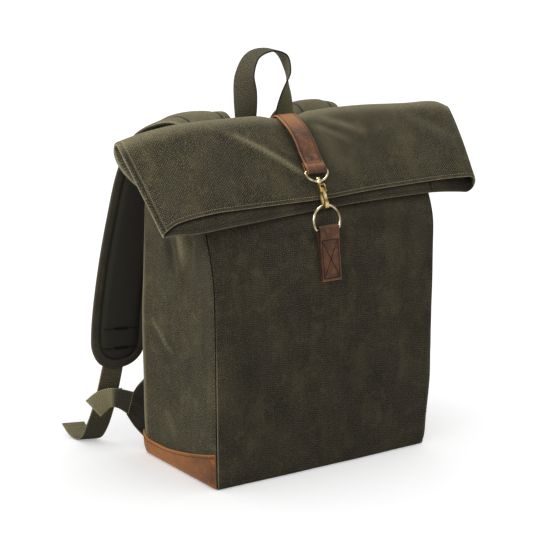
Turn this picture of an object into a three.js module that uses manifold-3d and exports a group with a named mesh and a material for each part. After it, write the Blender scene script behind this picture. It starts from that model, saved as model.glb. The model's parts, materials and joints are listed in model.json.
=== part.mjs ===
// A waxed canvas backpack with a folded-over top, standing on its base.
// Millimetres, +Z up, the front towards -Y, the origin at the middle of the base's underside.
import * as THREE from 'three';
import { mergeVertices } from 'three/addons/utils/BufferGeometryUtils.js';
import Module from 'manifold-3d';

const wasm = await Module();
wasm.setup();

// Cloth and leather walls
const CANVAS = 2;
const LEATHER = 2.4;
const WEBBING = 2;
const TOUCH = 0.4;

// Cloth across the bag, measured along the cloth from the middle of the front
const FRONT_HALF = 150;
const CREASE = 228;
const BACK_MIDDLE = 456;
const FRONT_EDGE = FRONT_HALF + CANVAS / 2;
const WRAP_EDGE = FRONT_EDGE + TOUCH;
const SEAM_EASE = 1.7;

// Heights where the level body ends, and where its cloth starts above the floor
const BODY_TOP = 296;
const HEM_LOW = 0.8;
const WRAP_SIDE_LOW = 5.2;
const BACK_CORNER = 14;

// Rows and columns of the cloth's grid
const BODY_ROWS = [0, 8, 16, 45, 90, 140, 190, 235, 270, BODY_TOP];
const WRAP_STEPS = [
  { to: 221, steps: 5 },
  { to: 235, steps: 6 },
  { to: 299, steps: 4 },
  { to: 321, steps: 3 },
  { to: BACK_MIDDLE, steps: 5 },
];

// The level body, section by section: front seam, middle of the front, side and back
const BODY = [
  { z: 0, seamX: 146.5, seamY: -79.5, frontY: -81, sideX: 146.5, backY: 79 },
  { z: 10, seamX: 149, seamY: -82, frontY: -84, sideX: 149.5, backY: 82 },
  { z: 38, seamX: 149.5, seamY: -82, frontY: -86.5, sideX: 150.5, backY: 84 },
  { z: 98, seamX: 149.7, seamY: -81, frontY: -88, sideX: 151.5, backY: 85 },
  { z: 167, seamX: 150, seamY: -80, frontY: -88.5, sideX: 152, backY: 85 },
  { z: 235, seamX: 151, seamY: -78.5, frontY: -86.5, sideX: 151.5, backY: 82 },
  { z: 265, seamX: 153, seamY: -76, frontY: -82, sideX: 151.5, backY: 80 },
  { z: 285, seamX: 155, seamY: -72.5, frontY: -76.5, sideX: 151.5, backY: 78.5 },
  { z: 296, seamX: 155.5, seamY: -70, frontY: -71.5, sideX: 151.5, backY: 78 },
];

// The right front corner stands out further than the left
const RIGHT_BELLY = { out: 4, forward: 4, low: 40, high: 340 };

// Dents pressed into the cloth: where on the cloth, how far they reach, how deep, and their slant
const DENTS = [
  { s: -196, z: 282, reachS: 9, reachZ: 34, slant: 0.1, depth: 7 },
  { s: -225, z: 150, reachS: 16, reachZ: 30, slant: 0.9, depth: 4 },
  { s: 200, z: 280, reachS: 12, reachZ: 34, slant: 0, depth: 5 },
  { s: -60, z: 120, reachS: 40, reachZ: 70, slant: 0, depth: 1.5 },
];

// The fold along the top: the axis that the layers turn about
const RIDGE = [
  { x: -228, y: 15, z: 384.5 },
  { x: -195, y: 12, z: 393 },
  { x: -150, y: 9, z: 399 },
  { x: -90, y: 7, z: 400 },
  { x: 0, y: 6, z: 394 },
  { x: 95, y: 5, z: 400 },
  { x: 165, y: 2, z: 397 },
  { x: 208, y: -1.5, z: 396 },
  { x: 228, y: -4, z: 388 },
];
// The folded top lies a little to the right of the body
const FOLD_SHIFT = 9;
const INNER_FOLD = 2.5;
const LAYER_STEP = 4;
const FRONT_ARRIVAL = 40;
const BACK_ARRIVAL = 124;
const CLOSING = { look: 4, leave: 0.22, arrive: 0.36 };

// The flap's outer layer: its lower edge, the angles that it leaves the fold and arrives at,
// how far the inner layer hangs below it, and how far the mouth stands open there
const FLAP = [
  { x: -228, y: -84, z: 306.5, leave: 221, arrive: 221, over: 2, mouth: 4 },
  { x: -205, y: -78.5, z: 310, leave: 220, arrive: 225, over: 9, mouth: 3.6 },
  { x: -180, y: -73.5, z: 314, leave: 218, arrive: 230, over: 15, mouth: 3.4 },
  { x: -145, y: -69.5, z: 316, leave: 215, arrive: 237, over: 16, mouth: 3.4 },
  { x: 0, y: -68.6, z: 317, leave: 210, arrive: 245, over: 12, mouth: 3.4 },
  { x: 140, y: -69, z: 320.5, leave: 214, arrive: 240, over: 12, mouth: 3.4 },
  { x: 190, y: -70, z: 321, leave: 220, arrive: 234, over: 11, mouth: 12 },
  { x: 228, y: -71, z: 320.5, leave: 228, arrive: 228, over: 10, mouth: 24 },
];
const FLAP_HANDLE = 0.34;

// The leather base
const BASE_BEND = 4.8;
const BASE_HEIGHT_BACK = 21;
const BASE_HEIGHT_FRONT = 43;
const BASE_RISE = 0.7;
const BASE_SWEEP = 1.5;
const BASE_BACK_CLOTH = 299;
const BASE_FRONT = -78.3;
const BASE_BACK = 77.4;
const BASE_SQUARE = 0.9;

// Closure strap, swivel eye, snap hook and D-ring, all about the plane X = 0
const STRAP_WIDTH = 26;
const STRAP_GAP = 1;
const STRAP_TURN_BACK = 12;
const HOOK_TILT = 25.5;
const EYE_BAR = { y: -58.8, z: 349.8 };
const EYE_REACH = 13;
const EYE_HALF_WIDTH = 16;
const EYE_WIRE = 1.2;
const SWIVEL = { boss: 3, half: 2.5, post: 1.4, head: 2.5, headHigh: 1.6 };
const HOOK = {
  top: 3.2,
  forkLow: 13.5,
  forkFront: -5.2,
  forkWidth: 8.6,
  slotTop: 5.5,
  width: 4.8,
  eyeY: -1,
  eyeDrop: 28,
  bend: 4.7,
  throat: 2.4,
  tip: 24,
  gateWidth: 4.2,
  gateBoss: 2,
  pivotY: -2.2,
  pivotDrop: 9.5,
  pin: 1,
};
const RING_WIRE = 1.75;
const RING_BAR = { y: -83, z: 286.5 };
const RING_RADIUS = 18.2;
const TAB_WIDTH = 27;
const TAB_LEATHER = 2.2;
const TAB_LOW = 227.5;
const TAB_NECK = 3;
const TAB_PINCH = 24;

// Carry handle: where its ends are sewn on the back, then half of its path up to the top
const HANDLE_WIDTH = 29;
const HANDLE_CENTRE = 440;
const HANDLE_PLACE = 31;
const HANDLE_SEWN = [0.32, 0.48];
const HANDLE_LIFT = 3.6;
const HANDLE_STEPS = 64;
const HANDLE = [
  { x: 30.5, y: 49.5, z: 366, twist: 0 },
  { x: 29, y: 45.5, z: 395, twist: 0.1 },
  { x: 30, y: 44, z: 424, twist: 0.4 },
  { x: 28.5, y: 43, z: 450, twist: 0.75 },
  { x: 17, y: 42, z: 470, twist: 0.95 },
  { x: 0, y: 41.5, z: 476.5, twist: 1 },
];

// Shoulder pads: where they are sewn on the back, then the centre line over the top and down,
// with how far the folded top pulls it to the right
const PAD_PLACE = 86;
const PAD_SEWN = [0.22, 0.36];
const PAD_SEWN_WIDTH = 56;
const PAD_SEWN_THICK = 3;
const PAD_LIFT = 3.6;
const PAD = [
  { x: 77, y: 60.5, z: 354, width: 62, thick: 4, shift: 6 },
  { x: 77, y: 57, z: 376, width: 64, thick: 6, shift: 8 },
  { x: 78, y: 60, z: 392, width: 66, thick: 7.5, shift: 8 },
  { x: 82, y: 72, z: 401, width: 68, thick: 8.5, shift: 7 },
  { x: 88, y: 90, z: 399, width: 70, thick: 9, shift: 5 },
  { x: 95, y: 108, z: 387.5, width: 72, thick: 9, shift: 3 },
  { x: 104, y: 122, z: 364, width: 74, thick: 9, shift: 1 },
  { x: 115, y: 130, z: 330, width: 75, thick: 9, shift: 0 },
  { x: 129, y: 132, z: 275, width: 75, thick: 9, shift: 0 },
  { x: 143, y: 132, z: 210, width: 75, thick: 9, shift: 0 },
  { x: 152.5, y: 131, z: 150, width: 75, thick: 9, shift: 0 },
  { x: 154.5, y: 130.4, z: 118, width: 74, thick: 8.6, shift: 0 },
  { x: 155.5, y: 130, z: 104, width: 64, thick: 7.6, shift: 0 },
  { x: 156, y: 130, z: 96, width: 38, thick: 5.6, shift: 0 },
];

// Webbing sewn to the pad's lower end: its two edges, down to the floor and back up
const PAD_WEB = [
  { x1: 177.5, y1: 130, z1: 94.9, x2: 147.5, y2: 130, z2: 94.9 },
  { x1: 183, y1: 132.5, z1: 68, x2: 154, y2: 132, z2: 66 },
  { x1: 188, y1: 137, z1: 44, x2: 159.5, y2: 135, z2: 40 },
  { x1: 193, y1: 143.5, z1: 22, x2: 166, y2: 139, z2: 17 },
  { x1: 195.5, y1: 151, z1: 7, x2: 171, y2: 144, z2: 5 },
  { x1: 198, y1: 160, z1: 1.4, x2: 174, y2: 151.5, z2: 1.4 },
  { x1: 201, y1: 173, z1: 4, x2: 175.5, y2: 163, z2: 4 },
  { x1: 204, y1: 186, z1: 15, x2: 177.5, y2: 177, z2: 15 },
];

// Canvas wing on the lower back corner, then the webbing that comes out of it: upper and lower edges
const ANCHOR_TAB = [
  { x1: 149, y1: 82.5, z1: 91, x2: 147.4, y2: 80.1, z2: 14 },
  { x1: 150.2, y1: 92, z1: 78, x2: 154, y2: 93, z2: 29 },
  { x1: 150.6, y1: 100.4, z1: 69.6, x2: 160, y2: 102, z2: 42 },
];
const ANCHOR_WEB = [
  { x1: 151.6, y1: 101.3, z1: 69.2, x2: 161, y2: 102.9, z2: 43 },
  { x1: 161.8, y1: 111, z1: 72, x2: 168, y2: 109, z2: 49.5 },
  { x1: 173, y1: 119, z1: 73, x2: 174.5, y2: 114, z2: 50.5 },
  { x1: 190.7, y1: 120, z1: 71, x2: 182.8, y2: 112, z2: 47 },
  { x1: 207.4, y1: 117, z1: 64, x2: 192.5, y2: 107, z2: 44 },
];
const TAB_CLOTH = 3;
const SLIDER = { width: 36, height: 15, thick: 2.5, bar: 3.5, x: 169, y: 129.6, z: 59, lean: -8 };

// Colours and finishes
const canvasOlive = new THREE.MeshStandardMaterial({ color: 0x46432f, roughness: 0.85, metalness: 0 });
const paddedCanvas = new THREE.MeshStandardMaterial({ color: 0x39382c, roughness: 0.9, metalness: 0 });
const webbingOlive = new THREE.MeshStandardMaterial({ color: 0x3f4030, roughness: 0.9, metalness: 0 });
const leatherBrown = new THREE.MeshStandardMaterial({ color: 0x7a4828, roughness: 0.55, metalness: 0 });
const brass = new THREE.MeshStandardMaterial({ color: 0xa8853f, roughness: 0.35, metalness: 1 });
const paleBrass = new THREE.MeshStandardMaterial({ color: 0xcbb98f, roughness: 0.3, metalness: 1 });
const darkPlastic = new THREE.MeshStandardMaterial({ color: 0x222320, roughness: 0.6, metalness: 0 });

const { lerp, smoothstep, degToRad } = THREE.MathUtils;
const along = new THREE.Vector3(1, 0, 0);

// A smooth reading of a table at any value of its key column
function readTable(table, key) {
  const columns = Object.keys(table[0]).filter((name) => name !== key);
  return (value) => {
    let n = table.findIndex((row, i) => i > 0 && value <= row[key]) - 1;
    if (n < 0) n = value > table[0][key] ? table.length - 2 : 0;
    const [a, b] = [table[n], table[n + 1]];
    const before = table[Math.max(n - 1, 0)];
    const after = table[Math.min(n + 2, table.length - 1)];
    const step = b[key] - a[key];
    const u = THREE.MathUtils.clamp((value - a[key]) / step, 0, 1);
    const result = {};
    for (const name of columns) {
      const slopeA = ((b[name] - before[name]) / (b[key] - before[key])) * step;
      const slopeB = ((after[name] - a[name]) / (after[key] - a[key])) * step;
      const rise = b[name] - a[name];
      const bend = (slopeA - rise) * (1 - u) + (rise - slopeB) * u;
      result[name] = a[name] + rise * u + u * (1 - u) * bend;
    }
    return result;
  };
}

const bodyAt = readTable(BODY, 'z');
const ridgeAt = readTable(RIDGE, 'x');
const flapAt = readTable(FLAP, 'x');

// Depth of the dents at a place on the cloth
function dentDepth(s, z) {
  return DENTS.reduce((sum, dent) => {
    const dz = z - dent.z;
    const ds = s - dent.s - dent.slant * dz;
    return sum + dent.depth * Math.exp(-((ds / dent.reachS) ** 2) - (dz / dent.reachZ) ** 2);
  }, 0);
}

// A point of the level body, with its outward direction, at a place across the cloth and a height
function bodyPoint(s, z) {
  const row = bodyAt(z);
  const hand = Math.sign(s) || 1;
  const cloth = Math.abs(s);
  const swell = smoothstep(z, RIGHT_BELLY.low - 40, RIGHT_BELLY.low + 60);
  const belly = hand > 0 ? swell * (1 - smoothstep(z, RIGHT_BELLY.high - 70, RIGHT_BELLY.high)) : 0;
  const point = new THREE.Vector3(0, 0, z);
  const out = new THREE.Vector3();
  if (cloth <= FRONT_EDGE) {
    const u = cloth / FRONT_HALF;
    point.x = hand * u * (row.seamX + belly * RIGHT_BELLY.out);
    point.y = lerp(row.frontY, row.seamY, u ** 2) - belly * RIGHT_BELLY.forward * u ** 2;
    out.set(0, -1, 0);
  } else {
    const sideLength = row.backY - BACK_CORNER - row.seamY;
    const arc = (Math.PI / 2) * BACK_CORNER;
    const total = sideLength + arc + row.sideX - BACK_CORNER;
    const run = ((cloth - FRONT_HALF) / (BACK_MIDDLE - FRONT_HALF)) * total;
    if (run <= sideLength) {
      const u = run / sideLength;
      point.x = hand * (lerp(row.seamX, row.sideX, u) + belly * RIGHT_BELLY.out * (1 - u));
      point.y = row.seamY + run - belly * RIGHT_BELLY.forward * (1 - u);
      out.set(hand, 0, 0);
    } else {
      const angle = Math.min((run - sideLength) / BACK_CORNER, Math.PI / 2);
      const past = Math.max(run - sideLength - arc, 0);
      out.set(hand * Math.cos(angle), Math.sin(angle), 0);
      point.x = hand * (row.sideX - BACK_CORNER + BACK_CORNER * Math.cos(angle) - past);
      point.y = row.backY - BACK_CORNER + BACK_CORNER * Math.sin(angle);
    }
  }
  return { point: point.addScaledVector(out, -dentDepth(s, z)), out };
}

// The flattened top: where a place across the cloth lies, and its layer, front 0 to back 1
function flatPlace(s, gap) {
  const hand = Math.sign(s) || 1;
  const cloth = Math.abs(s);
  const turn = (Math.PI * gap) / 4;
  if (cloth <= CREASE - turn) return { x: s, layer: 0 };
  if (cloth >= CREASE + turn) return { x: hand * (2 * CREASE - cloth), layer: 1 };
  const angle = ((cloth - CREASE) / turn + 1) * (Math.PI / 2);
  return { x: hand * (CREASE - turn + (gap / 2) * Math.sin(angle)), layer: (1 - Math.cos(angle)) / 2 };
}

// A direction in the YZ plane, from its angle in degrees
function heading(degrees) {
  return new THREE.Vector2(Math.cos(degToRad(degrees)), Math.sin(degToRad(degrees)));
}

// A point on the fold, from where a layer arrives (0) to where it leaves for the flap (1)
function foldPoint(s, turned) {
  const { x, layer } = flatPlace(s, LAYER_STEP);
  const axis = ridgeAt(x);
  const arrival = lerp(FRONT_ARRIVAL, BACK_ARRIVAL, layer);
  const way = heading(lerp(arrival, flapAt(x).leave, turned));
  const radius = INNER_FOLD + LAYER_STEP * layer;
  return new THREE.Vector3(x + FOLD_SHIFT, axis.y + radius * way.y, axis.z - radius * way.x);
}

// A point between the level body (0) and the fold (1)
function closingPoint(s, raised) {
  const start = bodyPoint(s, BODY_TOP).point;
  const end = foldPoint(s, 0);
  const leave = start.clone().sub(bodyPoint(s, BODY_TOP - CLOSING.look).point).normalize();
  const way = heading(lerp(FRONT_ARRIVAL, BACK_ARRIVAL, flatPlace(s, LAYER_STEP).layer));
  const reach = start.distanceTo(end);
  const curve = new THREE.CubicBezierCurve3(
    start,
    start.clone().addScaledVector(leave, CLOSING.leave * reach),
    end.clone().addScaledVector(new THREE.Vector3(0, way.x, way.y), -CLOSING.arrive * reach),
    end,
  );
  return curve.getPoint(raised);
}

// A point on the flap, from the fold (0) to its lower edge (1)
function flapPoint(s, hung) {
  const endGap = lerp(LAYER_STEP, flapAt((Math.sign(s) || 1) * CREASE).mouth, hung ** 2);
  const { x, layer } = flatPlace(s, endGap);
  const row = flapAt(x);
  const axis = ridgeAt(x);
  const [leave, arrive] = [heading(row.leave), heading(row.arrive)];
  const outer = INNER_FOLD + LAYER_STEP;
  const start = new THREE.Vector2(axis.y + outer * leave.y, axis.z - outer * leave.x);
  const end = new THREE.Vector2(row.y, row.z);
  const length = start.distanceTo(end);
  const curve = new THREE.CubicBezierCurve(
    start,
    start.clone().addScaledVector(leave, FLAP_HANDLE * length),
    end.clone().addScaledVector(arrive, -FLAP_HANDLE * length),
    end,
  );
  const run = hung * (1 + ((1 - layer) * row.over) / length);
  const place = curve.getPoint(Math.min(run, 1)).addScaledVector(arrive, Math.max(run - 1, 0) * length);
  const way = run < 1 ? curve.getTangent(run) : arrive;
  const inward = lerp(LAYER_STEP, row.mouth, hung ** 2) * (1 - layer);
  return new THREE.Vector3(x + FOLD_SHIFT, place.x - inward * way.y, place.y + inward * way.x);
}

// Lowest height of the cloth: the sides end above the base, the front and back reach down past it
function clothLow(s) {
  const cloth = Math.abs(s);
  if (cloth <= FRONT_EDGE) return HEM_LOW;
  return lerp(WRAP_SIDE_LOW, HEM_LOW, smoothstep(cloth, BASE_BACK_CLOTH, BASE_BACK_CLOTH + BACK_CORNER));
}

// One point of the cloth's middle surface: a place across it and a row of the height list
function clothPoint(s, row) {
  if (row.part === 'body') return bodyPoint(s, Math.max(row.at, clothLow(s))).point;
  if (row.part === 'closing') return closingPoint(s, row.at);
  if (row.part === 'fold') return foldPoint(s, row.at);
  return flapPoint(s, row.at);
}

// The cloth's middle surface with its outward direction, between the body and the flap's edge
function clothFace(s, { part, at }) {
  const near = 0.01;
  const across = clothPoint(s + 1, { part, at }).sub(clothPoint(s - 1, { part, at }));
  const up = clothPoint(s, { part, at: at + near }).sub(clothPoint(s, { part, at: at - near }));
  return { point: clothPoint(s, { part, at }), out: across.cross(up).normalize() };
}

// Even steps from above 0 up to 1, as rows of one part of the cloth
function evenRows(part, count) {
  return Array.from({ length: count }, (_, n) => ({ part, at: (n + 1) / count }));
}

const CLOTH_ROWS = [
  ...BODY_ROWS.map((at) => ({ part: 'body', at })),
  ...evenRows('closing', 6),
  ...evenRows('fold', 4),
  ...evenRows('flap', 5),
];

// Places between two ends, with the first end left out
function stepsBetween(from, to, count) {
  return Array.from({ length: count }, (_, n) => lerp(from, to, (n + 1) / count));
}

// A closed solid from points and triangles, turned so that its faces point out
function solid(points, triangles) {
  let volume = 0;
  for (const [a, b, c] of triangles) {
    volume += points[a].dot(points[b].clone().cross(points[c]));
  }
  const geometry = new THREE.BufferGeometry();
  geometry.setAttribute('position', new THREE.Float32BufferAttribute(points.flatMap((p) => p.toArray()), 3));
  geometry.setIndex(triangles.flatMap(([a, b, c]) => (volume > 0 ? [a, b, c] : [a, c, b])));
  geometry.computeVertexNormals();
  return geometry;
}

function quad(triangles, a, b, c, d) {
  triangles.push([a, b, c], [a, c, d]);
}

// A wall of even thickness about a grid of points on its middle surface
function wall(grid, thickness) {
  const rows = grid.length;
  const columns = grid[0].length;
  const points = [];
  for (let i = 0; i < rows; i += 1) {
    for (let j = 0; j < columns; j += 1) {
      const across = grid[i][Math.min(j + 1, columns - 1)].clone().sub(grid[i][Math.max(j - 1, 0)]);
      const up = grid[Math.min(i + 1, rows - 1)][j].clone().sub(grid[Math.max(i - 1, 0)][j]);
      const half = across.cross(up).setLength(thickness / 2);
      points.push(grid[i][j].clone().add(half), grid[i][j].clone().sub(half));
    }
  }
  const outer = (i, j) => 2 * (i * columns + j);
  const inner = (i, j) => outer(i, j) + 1;
  const triangles = [];
  for (let i = 0; i < rows - 1; i += 1) {
    for (let j = 0; j < columns - 1; j += 1) {
      quad(triangles, outer(i, j), outer(i, j + 1), outer(i + 1, j + 1), outer(i + 1, j));
      quad(triangles, inner(i, j), inner(i + 1, j), inner(i + 1, j + 1), inner(i, j + 1));
    }
    const last = columns - 1;
    quad(triangles, inner(i, 0), outer(i, 0), outer(i + 1, 0), inner(i + 1, 0));
    quad(triangles, outer(i, last), inner(i, last), inner(i + 1, last), outer(i + 1, last));
  }
  for (let j = 0; j < columns - 1; j += 1) {
    const last = rows - 1;
    quad(triangles, inner(0, j), inner(0, j + 1), outer(0, j + 1), outer(0, j));
    quad(triangles, outer(last, j), outer(last, j + 1), inner(last, j + 1), inner(last, j));
  }
  return solid(points, triangles);
}

// A solid through a row of rings with equal counts of points, closed at its ends or joined into a loop
function loft(rings, looped = false) {
  const count = rings[0].length;
  const triangles = [];
  const at = (ring, n) => (ring % rings.length) * count + (n % count);
  for (let ring = 0; ring < rings.length - (looped ? 0 : 1); ring += 1) {
    for (let n = 0; n < count; n += 1) {
      quad(triangles, at(ring, n), at(ring, n + 1), at(ring + 1, n + 1), at(ring + 1, n));
    }
  }
  if (!looped) {
    const last = rings.length - 1;
    for (let n = 1; n < count - 1; n += 1) {
      triangles.push([at(0, 0), at(0, n + 1), at(0, n)], [at(last, 0), at(last, n), at(last, n + 1)]);
    }
  }
  return solid(rings.flat(), triangles);
}

// Ring outlines, as shares of half the width and half the thickness
const FLAT_SECTION = [[-1, -1], [1, -1], [1, 1], [-1, 1]];
const PADDED_SECTION = [
  [-1, -0.35], [-0.88, -0.95], [0, -1], [0.88, -0.95], [1, -0.35],
  [1, 0.35], [0.88, 0.95], [0, 1], [-0.88, 0.95], [-1, 0.35],
];

// A band through frames that give its middle, its direction across, its face and its sizes
function band(frames, section) {
  return loft(frames.map(({ point, across, face, width, thick }) => section.map(([a, b]) => point.clone()
    .addScaledVector(across, (a * width) / 2)
    .addScaledVector(face, (b * thick) / 2))));
}

// Frames of a band that lies across the X axis, along points of the YZ plane
function levelFrames(path, width, thick) {
  return path.map((point, n) => {
    const way = path[Math.min(n + 1, path.length - 1)].clone().sub(path[Math.max(n - 1, 0)]).normalize();
    return { point, across: along, face: along.clone().cross(way), width, thick };
  });
}

// Frames of a band between two edges, each a smooth curve through a table's rows
function edgeFrames(table, hand, count, thick) {
  const curve = (n) => new THREE.CatmullRomCurve3(
    table.map((row) => new THREE.Vector3(hand * row[`x${n}`], row[`y${n}`], row[`z${n}`])),
  );
  const [one, two] = [curve(1), curve(2)];
  return Array.from({ length: count + 1 }, (_, n) => {
    const [a, b] = [one.getPoint(n / count), two.getPoint(n / count)];
    const across = b.clone().sub(a);
    const way = one.getTangent(n / count).add(two.getTangent(n / count));
    const width = across.length();
    across.normalize();
    const face = across.clone().cross(way).normalize();
    return { point: a.lerp(b, 0.5), across, face, width, thick };
  });
}

// A wire bent into a closed flat loop in its own XZ plane
function wireLoop(path, radius, sides) {
  const flat = new THREE.Vector3(0, 1, 0);
  return loft(path.map((point, n) => {
    const before = path[(n + path.length - 1) % path.length];
    const after = path[(n + 1) % path.length];
    const side = after.clone().sub(before).normalize().cross(flat);
    return Array.from({ length: sides }, (_, k) => {
      const angle = (2 * Math.PI * k) / sides;
      return point.clone()
        .addScaledVector(side, radius * Math.cos(angle))
        .addScaledVector(flat, radius * Math.sin(angle));
    });
  }), true);
}

// A mesh geometry as a solid that can be joined and cut, and back
function toSolid(geometry) {
  const bare = geometry.clone();
  bare.deleteAttribute('normal');
  bare.deleteAttribute('uv');
  const merged = mergeVertices(bare, 1e-4);
  return new wasm.Manifold(new wasm.Mesh({
    numProp: 3,
    vertProperties: new Float32Array(merged.attributes.position.array),
    triVerts: new Uint32Array(merged.index.array),
  }));
}

function toGeometry(body) {
  const mesh = body.getMesh();
  const geometry = new THREE.BufferGeometry();
  geometry.setAttribute('position', new THREE.BufferAttribute(mesh.vertProperties, 3));
  geometry.setIndex(new THREE.BufferAttribute(mesh.triVerts, 1));
  geometry.computeVertexNormals();
  return geometry;
}

const backpack = new THREE.Group();

function addPiece(parent, name, geometry, material) {
  const mesh = new THREE.Mesh(geometry, material);
  mesh.name = name;
  parent.add(mesh);
}

// Canvas front, and the back with both sides in one cloth
function clothWall(places) {
  return wall(CLOTH_ROWS.map((row) => places.map((s) => clothPoint(easedPlace(s, row), row))), CANVAS);
}

// The wrap's seam edge keeps clear of the front where the corner flattens out
function easedPlace(s, row) {
  if (Math.abs(s) !== WRAP_EDGE || row.part !== 'closing') return s;
  return s + Math.sign(s) * SEAM_EASE * 4 * row.at * (1 - row.at);
}

const frontPlaces = [-FRONT_EDGE, ...stepsBetween(-FRONT_EDGE, FRONT_EDGE, 10)];
addPiece(backpack, 'front_panel', clothWall(frontPlaces), canvasOlive);

const wrapHalf = [WRAP_EDGE];
for (const { to, steps } of WRAP_STEPS) {
  wrapHalf.push(...stepsBetween(wrapHalf.at(-1), to, steps));
}
const wrapPlaces = [...wrapHalf, ...wrapHalf.slice(0, -1).reverse().map((s) => -s)];
addPiece(backpack, 'body_wrap', clothWall(wrapPlaces), canvasOlive);

// Leather base: flat under the bag, bent up at both sides, with a top edge that rises to the front
function basePoint(across, back) {
  const hand = Math.sign(across) || 1;
  const place = Math.abs(across);
  const s = hand * lerp(WRAP_EDGE, BASE_BACK_CLOTH, back);
  const beside = CANVAS / 2 + TOUCH + LEATHER / 2;
  const bendTop = LEATHER / 2 + BASE_BEND;
  const { point, out } = bodyPoint(s, bendTop);
  point.addScaledVector(out, beside);
  if (place >= 2) {
    const rise = Math.max(1 - back / BASE_RISE, 0) ** BASE_SWEEP;
    const top = lerp(BASE_HEIGHT_BACK, BASE_HEIGHT_FRONT, rise);
    const higher = bodyPoint(s, lerp(bendTop, top, place - 2));
    return higher.point.addScaledVector(higher.out, beside);
  }
  const inner = Math.abs(point.x) - BASE_BEND;
  if (place >= 1) {
    const angle = (place - 1) * (Math.PI / 2);
    point.x = hand * (inner + BASE_BEND * Math.sin(angle));
    point.z = bendTop - BASE_BEND * Math.cos(angle);
    point.y = bodyPoint(s, point.z).point.y;
    return point;
  }
  const middleY = lerp(BASE_FRONT, BASE_BACK, back);
  const y = lerp(middleY, bodyPoint(s, LEATHER / 2).point.y, smoothstep(place, BASE_SQUARE, 1));
  return new THREE.Vector3(hand * place * inner, y, LEATHER / 2);
}

const baseHalf = [0, 0.45, BASE_SQUARE, 1, 1.34, 1.67, 2, 2.34, 2.67, 3];
const baseAcross = [...baseHalf.slice(1).reverse().map((place) => -place), ...baseHalf];
const baseBack = [0, ...stepsBetween(0, 1, 7)];
const baseGrid = baseBack.map((back) => baseAcross.map((across) => basePoint(across, back)));
addPiece(backpack, 'leather_base', wall(baseGrid, LEATHER), leatherBrown);

// Closure strap: from the back, over the fold, down the flap, round the eye's bar and back under itself
function levelPoint(y, z) {
  return new THREE.Vector3(0, y, z);
}

const eyeBar = levelPoint(EYE_BAR.y, EYE_BAR.z);
const strapRows = [
  ...evenRows('closing', 10).slice(5),
  ...evenRows('fold', 4),
  ...evenRows('flap', 10).slice(0, 7),
];
const strapBed = strapRows.map((row) => clothPoint(FOLD_SHIFT - BACK_MIDDLE, row).setX(0));
const bedFaces = levelFrames(strapBed, STRAP_WIDTH, LEATHER).map((frame) => frame.face.negate());
const strapLift = CANVAS / 2 + STRAP_GAP + LEATHER / 2;
const strapPath = strapBed.slice(0, -2).map((p, n) => p.clone().addScaledVector(bedFaces[n], strapLift));
const strapOut = bedFaces.at(-1);
const strapDown = along.clone().cross(strapOut);
const loopRadius = EYE_WIRE + TOUCH + LEATHER / 2;
for (const angle of [0, ...stepsBetween(0, Math.PI, 6)]) {
  strapPath.push(eyeBar.clone()
    .addScaledVector(strapOut, loopRadius * Math.cos(angle))
    .addScaledVector(strapDown, loopRadius * Math.sin(angle)));
}
strapPath.push(strapPath.at(-1).clone().addScaledVector(strapDown, -STRAP_TURN_BACK));
const strapFrames = levelFrames(strapPath, STRAP_WIDTH, LEATHER);
addPiece(backpack, 'closure_strap', band(strapFrames, FLAT_SECTION), leatherBrown);

// Swivel eye, snap hook and gate, in a frame that starts at the swivel, with -Z down the hook
const hookFrame = new THREE.Group();
hookFrame.rotation.x = -degToRad(HOOK_TILT);
const hookDown = levelPoint(-Math.sin(degToRad(HOOK_TILT)), -Math.cos(degToRad(HOOK_TILT)));
hookFrame.position.copy(eyeBar).addScaledVector(hookDown, EYE_REACH);
backpack.add(hookFrame);

function upright(radius, low, high, sides) {
  const cylinder = new THREE.CylinderGeometry(radius, radius, high - low, sides);
  return cylinder.rotateX(Math.PI / 2).translate(0, 0, (low + high) / 2);
}

// A flat outline in the YZ plane, made into a plate about X = 0
function sidePlate(shape, width) {
  const plate = new THREE.ExtrudeGeometry(shape, { depth: width, bevelEnabled: false, curveSegments: 8 });
  return plate.rotateY(Math.PI / 2).rotateX(Math.PI / 2).translate(-width / 2, 0, 0);
}

const eyePath = [0, ...stepsBetween(0, Math.PI, 12)].map((angle) => new THREE.Vector3(
  EYE_HALF_WIDTH * Math.cos(angle),
  0,
  EYE_REACH * (1 - Math.sin(angle)),
));
const eyeWire = toSolid(wireLoop(eyePath, EYE_WIRE, 8));
const boss = toSolid(upright(SWIVEL.boss, -SWIVEL.half, SWIVEL.half, 16));
const bossBore = toSolid(upright(SWIVEL.post + TOUCH, -SWIVEL.half - 1, SWIVEL.half + 1, 16));
addPiece(hookFrame, 'swivel_eye', toGeometry(eyeWire.add(boss).subtract(bossBore)), paleBrass);

const hookSpine = HOOK.eyeY + HOOK.bend;
const hookShape = new THREE.Shape();
hookShape.moveTo(hookSpine, -HOOK.top);
hookShape.lineTo(hookSpine, -HOOK.eyeDrop);
hookShape.absarc(HOOK.eyeY, -HOOK.eyeDrop, HOOK.bend, 0, -Math.PI, true);
hookShape.lineTo(HOOK.eyeY - HOOK.bend, -HOOK.tip);
hookShape.lineTo(HOOK.eyeY - HOOK.throat, -HOOK.tip);
hookShape.lineTo(HOOK.eyeY - HOOK.throat, -HOOK.eyeDrop);
hookShape.absarc(HOOK.eyeY, -HOOK.eyeDrop, HOOK.throat, -Math.PI, 0, false);
hookShape.lineTo(HOOK.eyeY + HOOK.throat, -HOOK.top);
const forkShape = new THREE.Shape();
forkShape.moveTo(hookSpine, -HOOK.top);
forkShape.lineTo(hookSpine, -HOOK.forkLow);
forkShape.lineTo(HOOK.forkFront, -HOOK.forkLow);
forkShape.lineTo(HOOK.forkFront, -HOOK.top - 2);
forkShape.lineTo(HOOK.forkFront + 2, -HOOK.top);
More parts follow.
